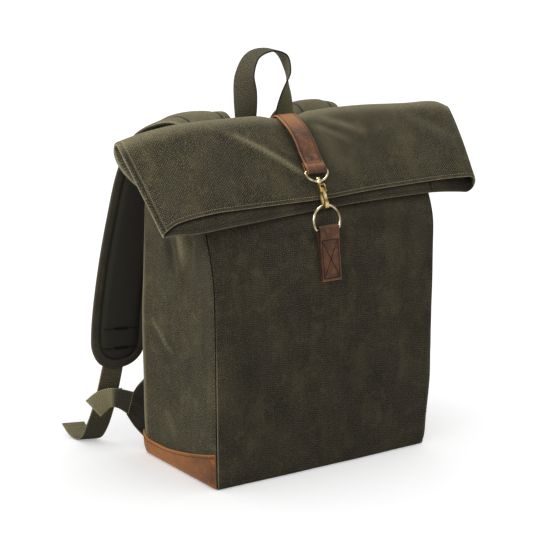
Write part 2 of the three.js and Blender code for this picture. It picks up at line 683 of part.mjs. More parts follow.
const pivotBore = new THREE.CylinderGeometry(HOOK.pin + TOUCH, HOOK.pin + TOUCH, 2 * HOOK.forkWidth, 16);
pivotBore.rotateZ(Math.PI / 2).translate(0, HOOK.pivotY, -HOOK.pivotDrop);
const slotDepth = HOOK.eyeY + HOOK.throat - HOOK.forkFront + 2;
const slotHeight = HOOK.forkLow - HOOK.slotTop + 2;
const slot = new THREE.BoxGeometry(HOOK.gateWidth + 2 * TOUCH, slotDepth, slotHeight);
slot.translate(0, HOOK.eyeY + HOOK.throat - slotDepth / 2, -HOOK.slotTop - slotHeight / 2);
const hookBody = toSolid(sidePlate(forkShape, HOOK.forkWidth))
  .subtract(toSolid(slot))
  .subtract(toSolid(pivotBore))
  .add(toSolid(sidePlate(hookShape, HOOK.width)))
  .add(toSolid(upright(SWIVEL.post, -HOOK.top - 1, SWIVEL.half + 1, 16)))
  .add(toSolid(upright(SWIVEL.head, SWIVEL.half + TOUCH, SWIVEL.half + TOUCH + SWIVEL.headHigh, 16)));
addPiece(hookFrame, 'snap_hook', toGeometry(hookBody), brass);

const gateShape = new THREE.Shape();
const gateFront = HOOK.eyeY - HOOK.bend;
const gateBack = HOOK.eyeY - HOOK.throat;
gateShape.moveTo(gateFront, -HOOK.tip + TOUCH);
gateShape.lineTo(gateBack, -HOOK.tip + TOUCH);
gateShape.lineTo(gateBack, -HOOK.forkLow);
gateShape.lineTo(HOOK.pivotY + HOOK.gateBoss, -HOOK.pivotDrop);
gateShape.absarc(HOOK.pivotY, -HOOK.pivotDrop, HOOK.gateBoss, 0, Math.PI * 0.75, false);
gateShape.lineTo(gateFront, -HOOK.forkLow);
const gatePin = new THREE.CylinderGeometry(HOOK.pin, HOOK.pin, HOOK.forkWidth, 12);
gatePin.rotateZ(Math.PI / 2).translate(0, HOOK.pivotY, -HOOK.pivotDrop);
const gate = toSolid(sidePlate(gateShape, HOOK.gateWidth)).add(toSolid(gatePin));
addPiece(hookFrame, 'snap_gate', toGeometry(gate), brass);

// D-ring, from its bar in the tab up to the hook's eye
const ringTop = levelPoint(HOOK.eyeY, -HOOK.eyeDrop - HOOK.throat + RING_WIRE + TOUCH)
  .applyAxisAngle(along, hookFrame.rotation.x)
  .add(hookFrame.position);
const ringBar = levelPoint(RING_BAR.y, RING_BAR.z);
const ringHeight = ringTop.distanceTo(ringBar);
const ringMiddle = ringHeight - RING_RADIUS;
const ringOpen = Math.asin(ringMiddle / RING_RADIUS);
const ringAngles = [-ringOpen, ...stepsBetween(-ringOpen, Math.PI + ringOpen, 24)];
const ringPath = ringAngles.map((angle) => new THREE.Vector3(
  RING_RADIUS * Math.cos(angle),
  0,
  ringMiddle + RING_RADIUS * Math.sin(angle),
));
const ringFrame = new THREE.Group();
ringFrame.position.copy(ringBar);
ringFrame.rotation.x = -Math.atan2(ringTop.y - ringBar.y, ringTop.z - ringBar.z);
backpack.add(ringFrame);
addPiece(ringFrame, 'd_ring', wireLoop(ringPath, RING_WIRE, 8), paleBrass);

// Leather tab: up the front cloth, round the ring's bar and down again
function overFront(z, lift) {
  return levelPoint(bodyPoint(0, z).point.y - lift, z);
}

const tabLift = CANVAS / 2 + TOUCH + TAB_LEATHER / 2;
const tabLoop = RING_WIRE + TOUCH + TAB_LEATHER / 2;
const tabHeights = [TAB_LOW, ...stepsBetween(TAB_LOW, RING_BAR.z - TAB_NECK, 4)];
const tabPath = tabHeights.map((z) => overFront(z, tabLift));
for (const angle of [0, ...stepsBetween(0, Math.PI, 6)]) {
  tabPath.push(levelPoint(
    RING_BAR.y + tabLoop * Math.cos(angle),
    RING_BAR.z + tabLoop * Math.sin(angle),
  ));
}
for (const z of [RING_BAR.z - TAB_PINCH, ...stepsBetween(RING_BAR.z - TAB_PINCH, TAB_LOW, 3)]) {
  tabPath.push(overFront(z, tabLift + TAB_LEATHER + TOUCH));
}
const tabFrames = levelFrames(tabPath, TAB_WIDTH, TAB_LEATHER);
addPiece(backpack, 'ring_tab', band(tabFrames, FLAT_SECTION), leatherBrown);

// Carry handle: flat to the front at its sewn ends, turned over the top
function handleHalf(hand) {
  const sewn = HANDLE_SEWN.map((at) => {
    const { point, out } = clothFace(hand * (BACK_MIDDLE - HANDLE_PLACE), { part: 'closing', at });
    const { y, z } = point.addScaledVector(out, HANDLE_LIFT);
    return { x: HANDLE_PLACE, y, z, twist: 0 };
  });
  return [...sewn, ...HANDLE].map((row) => ({ ...row, x: hand * row.x }));
}

const handlePath = [...handleHalf(-1), ...handleHalf(1).slice(0, -1).reverse()];
const handleCurve = new THREE.CatmullRomCurve3(handlePath.map(({ x, y, z }) => new THREE.Vector3(x, y, z)));
const handleFrames = [0, ...stepsBetween(0, 1, HANDLE_STEPS)].map((t) => {
  const point = handleCurve.getPoint(t);
  const way = handleCurve.getTangent(t);
  const n = Math.min(Math.floor(t * (handlePath.length - 1)), handlePath.length - 2);
  const twist = lerp(handlePath[n].twist, handlePath[n + 1].twist, t * (handlePath.length - 1) - n);
  const outward = new THREE.Vector3(point.x, 0, Math.max(point.z - HANDLE_CENTRE, 0)).normalize();
  const front = new THREE.Vector3(0, -1, 0).lerp(outward, twist);
  const across = way.clone().cross(front).normalize();
  return { point, across, face: across.clone().cross(way), width: HANDLE_WIDTH, thick: WEBBING };
});
addPiece(backpack, 'carry_handle', band(handleFrames, FLAT_SECTION), webbingOlive);

// Shoulder straps: pads, their webbing, the wings and webbing at the lower corners, and the sliders
function padFrames(hand) {
  const sewn = PAD_SEWN.map((at) => {
    const { point, out } = clothFace(hand * (BACK_MIDDLE - PAD_PLACE), { part: 'closing', at });
    return { point: point.addScaledVector(out, PAD_LIFT), width: PAD_SEWN_WIDTH, thick: PAD_SEWN_THICK };
  });
  const free = PAD.map(({ x, y, z, width, thick, shift }) => {
    const point = new THREE.Vector3(hand * x + shift, y, z);
    return { point, width, thick };
  });
  const rows = [...sewn, ...free];
  const curve = new THREE.CatmullRomCurve3(rows.map(({ point }) => point));
  const last = rows.length - 1;
  return [0, ...stepsBetween(0, 1, 2 * last)].map((t) => {
    const way = curve.getTangent(t);
    const across = along.clone().addScaledVector(way, -way.x).normalize();
    const n = Math.min(Math.floor(t * last), last - 1);
    const width = lerp(rows[n].width, rows[n + 1].width, t * last - n);
    const thick = lerp(rows[n].thick, rows[n + 1].thick, t * last - n);
    return { point: curve.getPoint(t), across, face: across.clone().cross(way), width, thick };
  });
}

function sliderPlate() {
  const outline = new THREE.Shape();
  const [w, h] = [SLIDER.width / 2, SLIDER.height / 2];
  outline.moveTo(-w, -h);
  outline.lineTo(w, -h);
  outline.lineTo(w, h);
  outline.lineTo(-w, h);
  for (const end of [-1, 1]) {
    const gap = new THREE.Path();
    const [near, far] = [(end * SLIDER.bar) / 2, end * (h - SLIDER.bar)];
    gap.moveTo(-w + SLIDER.bar, near);
    gap.lineTo(w - SLIDER.bar, near);
    gap.lineTo(w - SLIDER.bar, far);
    gap.lineTo(-w + SLIDER.bar, far);
    outline.holes.push(gap);
  }
  const plate = new THREE.ExtrudeGeometry(outline, { depth: SLIDER.thick, bevelEnabled: false });
  return plate.rotateX(Math.PI / 2);
}

for (const [side, hand] of [['left', -1], ['right', 1]]) {
  addPiece(backpack, `shoulder_pad_${side}`, band(padFrames(hand), PADDED_SECTION), paddedCanvas);
  const webs = [
    ['pad_web', PAD_WEB, 18, WEBBING, webbingOlive],
    ['anchor_tab', ANCHOR_TAB, 4, TAB_CLOTH, canvasOlive],
    ['anchor_web', ANCHOR_WEB, 12, WEBBING, webbingOlive],
  ];
  for (const [name, table, steps, thick, material] of webs) {
    const frames = edgeFrames(table, hand, steps, thick);
    addPiece(backpack, `${name}_${side}`, band(frames, FLAT_SECTION), material);
  }
  const sliderFrame = new THREE.Group();
  sliderFrame.position.set(hand * SLIDER.x, SLIDER.y, SLIDER.z);
  sliderFrame.rotation.x = degToRad(SLIDER.lean);
  backpack.add(sliderFrame);
  addPiece(sliderFrame, `strap_slider_${side}`, sliderPlate(), darkPlastic);
}

export default backpack;
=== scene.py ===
"""Looks of a waxed canvas backpack with a folded-over top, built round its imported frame.

Lengths are in millimetres until a mesh is made, which turns them into metres.
"""
import json
import math

import bpy
import numpy as np
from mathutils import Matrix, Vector

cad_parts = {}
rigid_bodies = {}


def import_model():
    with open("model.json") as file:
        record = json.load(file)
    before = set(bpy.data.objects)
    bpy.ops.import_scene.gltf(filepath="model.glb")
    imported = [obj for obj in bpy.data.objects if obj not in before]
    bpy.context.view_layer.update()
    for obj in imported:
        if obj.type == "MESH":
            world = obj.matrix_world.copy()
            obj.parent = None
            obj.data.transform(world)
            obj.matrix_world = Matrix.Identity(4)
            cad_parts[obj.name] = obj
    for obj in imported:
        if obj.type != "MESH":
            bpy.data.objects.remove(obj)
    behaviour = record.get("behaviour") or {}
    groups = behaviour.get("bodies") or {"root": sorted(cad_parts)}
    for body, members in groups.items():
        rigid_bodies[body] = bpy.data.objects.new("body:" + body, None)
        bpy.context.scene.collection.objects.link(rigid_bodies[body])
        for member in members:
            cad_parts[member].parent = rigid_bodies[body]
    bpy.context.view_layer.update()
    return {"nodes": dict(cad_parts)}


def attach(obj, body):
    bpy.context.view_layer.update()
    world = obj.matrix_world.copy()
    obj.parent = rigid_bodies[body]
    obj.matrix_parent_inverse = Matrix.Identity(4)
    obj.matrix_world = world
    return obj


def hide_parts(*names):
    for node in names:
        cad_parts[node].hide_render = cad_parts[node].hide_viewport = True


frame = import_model()


def table(names, *rows):
    """A small table with named columns."""
    return dict(zip(names.split(), np.array(rows, float).T))


# Scale of the meshes, and the walls
MM = 0.001
CANVAS = 2.0
LEATHER = 2.4
WEBBING = 2.0
TOUCH = 0.4

# Cloth across the bag, measured along the cloth from the middle of the front
FRONT_HALF = 150.0
FRONT_LOOK_EDGE = 149.4
WRAP_LOOK_EDGE = 150.6
WRAP_EDGE = 151.4
CREASE = 228.0
BACK_MIDDLE = 456.0
SEAM_ROUND = 5.0
SEAM_TURN = 0.72

# Heights of the level body
BODY_TOP = 296.0
HEM_LOW = 0.8
WRAP_SIDE_LOW = 5.2
BACK_CORNER = 14.0

# The level body, section by section: front seam, middle of the front, side and back
BODY = table(
    "z seam_x seam_y front_y side_x back_y",
    (0, 146.5, -79.5, -81, 146.5, 79),
    (10, 149, -82, -84, 149.5, 82),
    (38, 149.5, -82, -86.5, 150.5, 84),
    (98, 149.7, -81, -88, 151.5, 85),
    (167, 150, -80, -88.5, 152, 85),
    (235, 151, -78.5, -86.5, 151.5, 82),
    (265, 153, -76, -82, 151.5, 80),
    (285, 155, -72.5, -76.5, 151.5, 78.5),
    (296, 155.5, -70, -71.5, 151.5, 78),
)
RIGHT_BELLY = {"out": 4, "forward": 4, "swells": (0, 100), "ends": (270, 340)}

# Broad dents of the body: place on the cloth, reach, slant and depth
DENTS = table(
    "s z reach_s reach_z slant depth",
    (-196, 282, 9, 34, 0.1, 7),
    (-225, 150, 16, 30, 0.9, 4),
    (200, 280, 12, 34, 0, 5),
    (-60, 120, 40, 70, 0, 1.5),
)

# The fold along the top: the axis that the layers turn about
RIDGE = table(
    "x y z",
    (-228, 15, 384.5),
    (-195, 12, 393),
    (-150, 9, 399),
    (-90, 7, 400),
    (-46, 6.4, 399),
    (-25, 6.1, 394.8),
    (-9, 6, 394),
    (7, 6, 394.8),
    (28, 5.8, 399),
    (95, 5, 400),
    (165, 2, 397),
    (208, -1.5, 396),
    (228, -4, 388),
)
FOLD_SHIFT = 9.0
INNER_FOLD = 2.5
LAYER_STEP = 4.0
FRONT_ARRIVAL = 40.0
BACK_ARRIVAL = 124.0
CLOSING_LOOK = 4.0
CLOSING_LEAVE = 0.22
CLOSING_ARRIVE = 0.36

# The flap's outer layer: lower edge, angles, how far the inner layer hangs below it, and the mouth
FLAP = table(
    "x y z leave arrive over mouth",
    (-228, -84, 306.5, 221, 221, 2, 4),
    (-212, -79.5, 313.5, 220, 224, 10, 3.6),
    (-203, -78.2, 316, 220, 225, 14, 3.6),
    (-180, -73.5, 317.5, 218, 230, 18, 3.4),
    (-145, -69.5, 318.7, 215, 237, 18, 3.4),
    (0, -68.6, 318, 210, 245, 10.5, 3.4),
    (60, -68.6, 320.5, 212, 243, 11.5, 3.4),
    (140, -69, 322, 214, 240, 13, 3.4),
    (190, -70, 322, 220, 234, 13, 12),
    (228, -71, 320.5, 228, 228, 10, 24),
)
FLAP_HANDLE = 0.34

# Rows of the look's cloth, part by part, its columns, and the steps that its slope is read over
ROW_STEP = 4.0
CLOSING_ROWS = 30
FOLD_ROWS = 10
FLAP_ROWS = 34
HEM_ROWS = (13.0, 11.0, 8.0, 5.6, 4.6, 3.8, 3.0, 1.8, 0.9, 0.3, 0.0)
COLUMN_STEP = 4.0
FRONT_FINE_COLUMNS = (146.0, 147.0, 147.7, 148.4)
SLOPE_ACROSS = 0.5
SLOPE_SHARE = 0.006
CLOSING_LENGTH = 130.0
FOLD_LENGTH = 16.0
FLAP_LENGTH = 106.0

# Parts of the cloth from the floor up: the height up the cloth where each starts, and its length
CLOTH_PARTS = {
    "body": (0.0, 1.0),
    "closing": (BODY_TOP, CLOSING_LENGTH),
    "fold": (BODY_TOP + CLOSING_LENGTH, FOLD_LENGTH),
    "flap": (BODY_TOP + CLOSING_LENGTH + FOLD_LENGTH, FLAP_LENGTH),
}

# Creases of the body cloth: two ends on the cloth (across, up), half width and depth
BODY_CREASES = table(
    "s1 h1 s2 h2 half depth",
    (-280, 173, -243, 140, 2.4, -1.3),
    (-274, 158, -244, 126, 6, 1.6),
    (-240, 274, -230, 236, 7, 1.8),
    (-216, 300, -211, 252, 6, -1.6),
    (-250, 70, -236, 40, 8, -1.0),
    (-205, 120, -200, 40, 14, 0.9),
    (-120, 285, -100, 215, 14, 0.7),
    (60, 288, 74, 205, 16, 0.7),
    (128, 288, 120, 190, 12, -0.9),
    (-140, 60, -120, 180, 14, -0.6),
    (190, 300, 186, 240, 9, 2.0),
    (215, 210, 250, 150, 9, 1.6),
)
# Creases of the flap: two ends (across the bag, share of the flap's length), half width in mm and depth
FLAP_CREASES = table(
    "x1 t1 x2 t2 half depth",
    (-99, 0.17, -15, 0.77, 3.0, -1.7),
    (-112, 0.3, -26, 0.9, 11, 2.2),
    (-215, 0.15, -160, 0.75, 14, 0.9),
    (-150, 0.2, -120, 0.9, 16, -0.8),
    (24, 0.06, 80, 0.34, 5, -0.9),
    (14, 0.16, 60, 0.44, 4, -0.7),
    (30, 0.22, 84, 0.5, 9, 1.0),
    (150, 0.12, 205, 0.5, 9, -1.2),
    (165, 0.10, 215, 0.4, 7, 0.9),
    (120, 0.3, 170, 0.95, 14, -0.8),
    (26, 0.2, 30, 0.8, 9, -0.8),
)

# Leather base
BASE_BEND = 4.8
BASE_HEIGHT_BACK = 21.0
BASE_HEIGHT_FRONT = 43.0
BASE_RISE = 0.7
BASE_SWEEP = 1.5
BASE_BACK_CLOTH = 299.0
BASE_LOOK_BACK = 312.0
BASE_BACK_RISE = 7.0
BASE_FRONT = -78.3
BASE_BACK = 77.4
BASE_SQUARE = 0.9
BASE_TUCK = 2.4

# Closure strap, eye, hook, ring and tab, all about the plane X = 0
STRAP_WIDTH = 26.0
STRAP_GAP = 1.0
STRAP_TURN_BACK = 12.0
STRAP_ARCH_ROW = 13
STRAP_BEND_ROW = 22
STRAP_ARCH = 5.5
HOOK_TILT = math.radians(25.5)
EYE_BAR = np.array([0, -58.8, 349.8])
EYE_REACH = 13.0
EYE_HALF_WIDTH = 16.0
EYE_WIRE = 1.2
EYE_WIRE_LOOK = 1.6
SWIVEL_BOSS = 3.0
SWIVEL_BORE = 1.8
SWIVEL_HALF = 2.5
SWIVEL_SOFT = 0.5
RING_TOP = np.array([0, -77.44, 313.0])
RING_BAR = np.array([0, -83, 286.5])
RING_WIRE = 1.75
RING_WIRE_LOOK = 1.55
RING_RADIUS = 18.2
TAB_WIDTH = 27.0
TAB_LEATHER = 2.2
TAB_LOW = 227.5
TAB_NECK = 3.0
TAB_PINCH = 24.0

# Carry handle: where it is sewn on the back, then half of its path
HANDLE_WIDTH = 27.8
HANDLE_CENTRE = 440.0
HANDLE_PLACE = 31.0
HANDLE_SEWN = (0.32, 0.48)
HANDLE_LIFT = 3.6
HANDLE = table(
    "x y z twist",
    (29.4, 49.5, 366, 0),
    (27.4, 45.5, 395, 0.06),
    (28.6, 44, 424, 0.4),
    (29.8, 43, 450, 0.75),
    (20, 42, 470.5, 0.95),
    (0, 41.5, 476.5, 1),
)

# Shoulder pads: where they are sewn, then the centre line over the top and down, and the right one's lean
PAD_PLACE = 86.0
PAD_SEWN = (0.22, 0.36)
PAD_SEWN_WIDTH = 56.0
PAD_SEWN_THICK = 3.0
PAD_LIFT = 3.6
PAD = table(
    "x y z width thick shift lean",
    (77, 60.5, 354, 62, 4, 6, 0),
    (77, 57, 376, 64, 6, 8, 0),
    (78, 60, 392, 66, 7.5, 8, 0),
    (82, 72, 401, 68, 8.5, 7, 3),
    (88, 90, 399, 70, 9, 5, 7),
    (95, 108, 387.5, 72, 9, 3, 10),
    (104, 122, 364, 74, 9, 1, 8),
    (115, 130, 330, 75, 9, 0, 4),
    (129, 132, 275, 75, 9, 0, 0),
    (143, 132, 210, 75, 9, 0, 0),
    (152.5, 131, 150, 75, 9, 0, 0),
    (154.5, 130.4, 118, 75, 9, 0, 0),
    (155.5, 130, 104, 75, 9, 0, 0),
    (156, 130, 92.8, 75, 9, 0, 0),
)

# Webbing and wings: two edges each
PAD_WEB = table(
    "x1 y1 z1 x2 y2 z2",
    (176, 130.4, 100, 147, 130.4, 100),
    (183, 132.5, 68, 154, 132, 66),
    (188, 137, 44, 159.5, 135, 40),
    (193, 143.5, 22, 166, 139, 17),
    (195.5, 151, 7, 171, 144, 5),
    (198, 160, 1.4, 174, 151.5, 1.4),
    (201, 173, 4, 175.5, 163, 4),
    (204, 186, 15, 177.5, 177, 15),
)
ANCHOR_TAB = table(
    "x1 y1 z1 x2 y2 z2",
    (146.6, 79.6, 93, 145, 77.2, 13),
    (150.2, 92, 79.5, 154, 93, 28),
    (150.6, 100.4, 69.6, 160, 102, 42),
)
ANCHOR_WEB = table(
    "x1 y1 z1 x2 y2 z2",
    (150.2, 99.8, 69.2, 159.6, 101.4, 43),
    (161.8, 111, 72, 168, 109, 49.5),
    (173, 119, 73, 174.5, 114, 50.5),
    (190.7, 120, 71, 182.8, 112, 47),
    (207.4, 117, 64, 192.5, 107, 44),
)
TAB_CLOTH = 3.0

# Camera: what it looks at, its angles, distance and lens
CAMERA_TARGET = np.array([-22.6, 0, 223.6])
CAMERA_AZIMUTH = math.radians(-34.25)
CAMERA_ELEVATION = math.radians(14.1)
CAMERA_ROLL = math.radians(0.3)
CAMERA_DISTANCE = 2242.0
CAMERA_LENS = 127.3
CAMERA_SENSOR = 36.0

# Floor and lights, in metres
FLOOR_SIZE = 30
FLOOR_Z = -0.0004
LIGHT_SIZE = 0.8
LIGHTS = {
    "key": {"place": (-1.9, -0.5, 1.3), "target": (0, 0, 0.2), "power": 55},
    "top": {"place": (0.1, -0.2, 2.1), "target": (0, 0, 0.3), "power": 24},
}

# Hem of the flap, how far creases reach past their ends, and how they look
HEM_DEPTH = 14.0
HEM_EXTRA = 0.5
HEM_STEP = 2.5
HEM_GROOVE = 0.6
HEM_THIN = 1.3
HEM_STITCH = 3.8
CREASE_PAST = 0.2
CREASE_FULL = 0.3
CREASE_SHARP = 5.0
# Crease ridges are painted paler, partly wax and partly painted highlight, and crease hollows get painted
# shade
CREASE_WAX_AND_HIGHLIGHT = 0.2
CREASE_SHADE = 0.2
FLAP_RIPPLE = (440.0, 470.0)

# Where the cloth is made paler or darker, by scuffing, painted highlight and painted shade: heights up the
# cloth, and places across it
FOLD_BEGINS = (415.0, 432.0)
EAR_CREASE = (330.0, 390.0)
CREST = 440.0
BACK_RIM = 304.0
BACK_RIM_ENDS = (262.0, 305.0)
SEAM_RUB_ENDS = (120.0, 220.0)
SEAM_RIDGE = (147.6, 148.4)

# Darker patches, partly wax blotches and partly painted shade under the flap's hem, beside the strap, in the
# side's folds and on the flap's lower part: place on the cloth, reach and amount
DARK_PATCHES_AND_SHADE = table(
    "s h reach_s reach_h amount",
    (-241, 266, 9, 24, 0.9),
    (-214, 236, 9, 13, 0.5),
    (-180, 276, 8, 26, 0.4),
    (-204, 130, 8, 18, 0.5),
    (-172, 180, 8, 60, 0.3),
    (-246, 120, 9, 40, 0.25),
    (-60, 286, 60, 10, 0.35),
    (70, 284, 60, 12, 0.55),
    (112, 268, 34, 18, 0.35),
    (-110, 150, 16, 60, 0.25),
    (40, 90, 22, 70, 0.25),
    (110, 200, 14, 50, 0.25),
    (-432, 468, 4.5, 30, 0.6),
    (-330, 495, 20, 16, 0.35),
    (-420, 500, 24, 14, 0.4),
    (360, 500, 26, 18, 0.3),
    (290, 480, 22, 16, 0.25),
)

# Strip in the front's two seams that keeps light out, and a black line in each seam's groove that stands in
# for the groove's shade, as painted shade
SEAM_JOIN = 0.9
SEAM_STRIP = (146.5, 153.5)
SEAM_STRIP_IN = 1.5
SEAM_STRIP_THICK = 0.5
SEAM_SHADE_CORD = 1.5
SEAM_SHADE_CORD_OUT = 0.55

# Rounding of a strap's section: of its edges, of its faces, and points round it
LEATHER_SHAPE = (0.16, 0.3, 36)
HANDLE_SHAPE = (0.14, 0.3, 36)
WEB_SHAPE = (0.14, 0.3, 32)
WING_SHAPE = (0.14, 0.35, 32)
SHADE_CORD_SHAPE = (1.0, 1.0, 10)

# Stitches of the leather: how far they stand out, and how far in they are from an edge or the strap's end
STITCH_PROUD = 0.05
STRAP_STITCH = 2.6
STRAP_CROSS = 9.0
BASE_STITCH = 3.4
TAB_STITCH = 3.4

# Pads: rounded end, border, bars, droop of the edges over the top, where the top is, and the crest that gets
# a painted highlight
PAD_HALF = 37.5
PAD_END = 38.0
PAD_ROUND = 2.3
PAD_BORDER = 11.5
PAD_BARS = (50.0, 26.0)
PAD_BAR_HALF = 0.62
PAD_ROWS = 170
PAD_CROWDING = 1.7
PAD_STEPS = 45
PAD_DROOP = {"left": 9.0, "right": 4.0}
PAD_TOP_Y = (60.0, 76.0)
PAD_TOP_Z = (360.0, 392.0)
PAD_CREST_Z = (376.0, 396.0)
PAD_LINING_START = (60.0, 64.0)
PAD_SEAM_START = 70.0
# How full the pad is, by the distance from its edge
PAD_FULL = table(
    "edge inner outer",
    (0, 0.0, 0.0),
    (0.7, 0.36, 0.36),
    (3, 0.52, 0.52),
    (8, 0.6, 0.6),
    (10.4, 0.48, 0.52),
    (11.5, 0.34, 0.42),
    (12.6, 0.48, 0.54),
    (15.5, 0.76, 0.78),
    (20, 0.95, 0.95),
    (38, 1.0, 1.0),
)

# Pitches of the weaves, in metres: a wave of scale 1, canvas, lining, and the webbing's columns and ribs
WAVE_PITCH = 2 * math.pi / 20
CANVAS_PITCH = 0.0021
LINING_PITCH = 0.0016
RIB_COLUMN = 0.0036
RIB_PITCH = 0.0028

# A piece whose name ends so stands for the node that it is named after
LOOK = "_look"

# Directions, and the two sides
RIGHT = np.array([1.0, 0, 0])
FRONT = np.array([0, -1.0, 0])
SIDES = (("left", -1), ("right", 1))


# Small maths

def smooth(value, low, high):
    t = np.clip((value - low) / (high - low), 0, 1)
    return t * t * (3 - 2 * t)


def fall(value, low, high):
    return 1 - smooth(value, low, high)


def hump(value, middle, reach):
    """A soft bell round a middle."""
    return np.exp(-((value - middle) / reach) ** 2)


def mix(a, b, t):
    return a + (b - a) * t


def unit(v):
    return v / np.maximum(np.linalg.norm(v, axis=-1, keepdims=True), 1e-9)


def xyz(x, y, z):
    """Points from three coordinates, each a number or an array."""
    return np.stack(np.broadcast_arrays(x, y, z), axis=-1)


def circle(count):
    return np.linspace(0, 2 * math.pi, count, endpoint=False)


def join(*parts):
    return np.concatenate(parts)


def mirrored(half):
    return join(-half[:0:-1], half)


def distance(points):
    """Distance along a line of points."""
    return join([0], np.cumsum(np.linalg.norm(np.diff(points, axis=0), axis=1)))


def placed(values, run, places):
    """Rows of values, read at places along their run."""
    return np.stack([np.interp(places, run, column) for column in values.T], axis=1)


def read(source, key, value):
    """A smooth reading of a table at any values of its key column."""
    knots = source[key]
    value = np.asarray(value, float)
    n = np.clip(np.searchsorted(knots, value) - 1, 0, len(knots) - 2)
    before = np.maximum(n - 1, 0)
    after = np.minimum(n + 2, len(knots) - 1)
    step = knots[n + 1] - knots[n]
    u = np.clip((value - knots[n]) / step, 0, 1)
    result = {}
    for name, column in source.items():
        if name == key:
            continue
        rise = column[n + 1] - column[n]
        slope_a = (column[n + 1] - column[before]) / (knots[n + 1] - knots[before]) * step
        slope_b = (column[after] - column[n]) / (knots[after] - knots[n]) * step
        bend = (slope_a - rise) * (1 - u) + (rise - slope_b) * u
        result[name] = column[n] + rise * u + u * (1 - u) * bend
    return result


def spline(points, t):
    """A smooth curve through points, read at shares of its rows."""
    points = np.asarray(points, float)
    place = np.asarray(t, float) * (len(points) - 1)
    n = np.clip(np.floor(place).astype(int), 0, len(points) - 2)
    w = (place - n)[:, None]
    ends = np.vstack([2 * points[0] - points[1], points, 2 * points[-1] - points[-2]])
    p0, p1, p2, p3 = (ends[n + k] for k in range(4))
    spans = (p1 - p0, p2 - p1, p3 - p2)
    d0, d1, d2 = (np.sqrt(np.linalg.norm(span, axis=1))[:, None] for span in spans)
    t1 = ((p1 - p0) / d0 - (p2 - p0) / (d0 + d1) + (p2 - p1) / d1) * d1
    t2 = ((p2 - p1) / d1 - (p3 - p1) / (d1 + d2) + (p3 - p2) / d2) * d1
    return p1 + t1 * w + (3 * (p2 - p1) - 2 * t1 - t2) * w**2 + (2 * (p1 - p2) + t1 + t2) * w**3


def columns(source, names):
    return np.stack([source[name] for name in names.split()], axis=1)


# The cloth's middle surface

def creases(source, u, v, v_scale, sharp):
    """Depth of long soft creases, each between two places of the cloth, or how sharp they look."""
    total = np.zeros(np.broadcast(u, v).shape)
    for u1, v1, u2, v2, half, depth in zip(*source.values()):
        du, dv = u2 - u1, (v2 - v1) * v_scale
        pu, pv = u - u1, (v - v1) * v_scale
        run = np.clip((pu * du + pv * dv) / math.hypot(du, dv) ** 2, -CREASE_PAST, 1 + CREASE_PAST)
        off = np.hypot(pu - run * du, pv - run * dv)
        fade = smooth(run, -CREASE_PAST, CREASE_FULL) * fall(run, 1 - CREASE_FULL, 1 + CREASE_PAST)
        size = depth * min(1, (CREASE_SHARP / half) ** 2) if sharp else depth
        total = total + size * fade * hump(off, 0, half)
    return total


def ripple(u, v):
    """A faint uneven wave, the same on every run."""
    slow = np.sin(u / 31 + 1.3 * np.sin(v / 57)) * np.sin(v / 43 + 0.8 * np.sin(u / 37))
    quick = np.sin(u / 11 + v / 17 + 2 * np.sin(v / 23)) * np.sin(v / 13 - u / 19)
    return 0.45 * slow + 0.12 * quick


def dents(s, z):
    """Depth of the broad dents of the body."""
    total = np.zeros_like(z)
    for place, height, reach_s, reach_z, slant, depth in zip(*DENTS.values()):
        dz = z - height
        total = total + depth * hump(s - slant * dz, place, reach_s) * hump(dz, 0, reach_z)
    return total


def seam_turn(left):
    """How far the cloth has turned in towards a seam, by the distance that is left to it."""
    turn = SEAM_TURN * np.clip(1 - left / SEAM_ROUND, 0, 1)
    return SEAM_ROUND * (1 - np.sqrt(1 - turn**2))


def body_points(s, z):
    """The level body, at places across the cloth and heights."""
    s, z = np.broadcast_arrays(np.asarray(s, float), np.asarray(z, float))
    row = read(BODY, "z", z)
    hand = np.where(s < 0, -1.0, 1.0)
    cloth = np.abs(s)
    belly = np.where(hand > 0, smooth(z, *RIGHT_BELLY["swells"]) * fall(z, *RIGHT_BELLY["ends"]), 0)
    out, forward = belly * RIGHT_BELLY["out"], belly * RIGHT_BELLY["forward"]
    u = cloth / FRONT_HALF
    front_x = hand * u * (row["seam_x"] + out)
    front_y = mix(row["front_y"], row["seam_y"], u**2) - forward * u**2 + seam_turn(FRONT_HALF - cloth)
    side = row["back_y"] - BACK_CORNER - row["seam_y"]
    arc = math.pi / 2 * BACK_CORNER
    total = side + arc + row["side_x"] - BACK_CORNER
    run = (cloth - FRONT_HALF) / (BACK_MIDDLE - FRONT_HALF) * total
    v = np.clip(run / side, 0, 1)
    angle = np.clip((run - side) / BACK_CORNER, 0, math.pi / 2)
    past = np.maximum(run - side - arc, 0)
    side_x = mix(row["seam_x"], row["side_x"], v) + out * (1 - v) - seam_turn(cloth - FRONT_HALF)
    side_y = row["seam_y"] + run - forward * (1 - v)
    corner_x = row["side_x"] - BACK_CORNER + BACK_CORNER * np.cos(angle) - past
    corner_y = row["back_y"] - BACK_CORNER + BACK_CORNER * np.sin(angle)
    front = cloth <= FRONT_HALF
    x = np.where(front, front_x, hand * np.where(run <= side, side_x, corner_x))
    y = np.where(front, front_y, np.where(run <= side, side_y, corner_y))
    out_x = np.where(front, 0, hand * np.cos(angle))
    out_y = np.where(front, -1, np.sin(angle))
    dent = dents(s, z)
    return xyz(x - out_x * dent, y - out_y * dent, z)


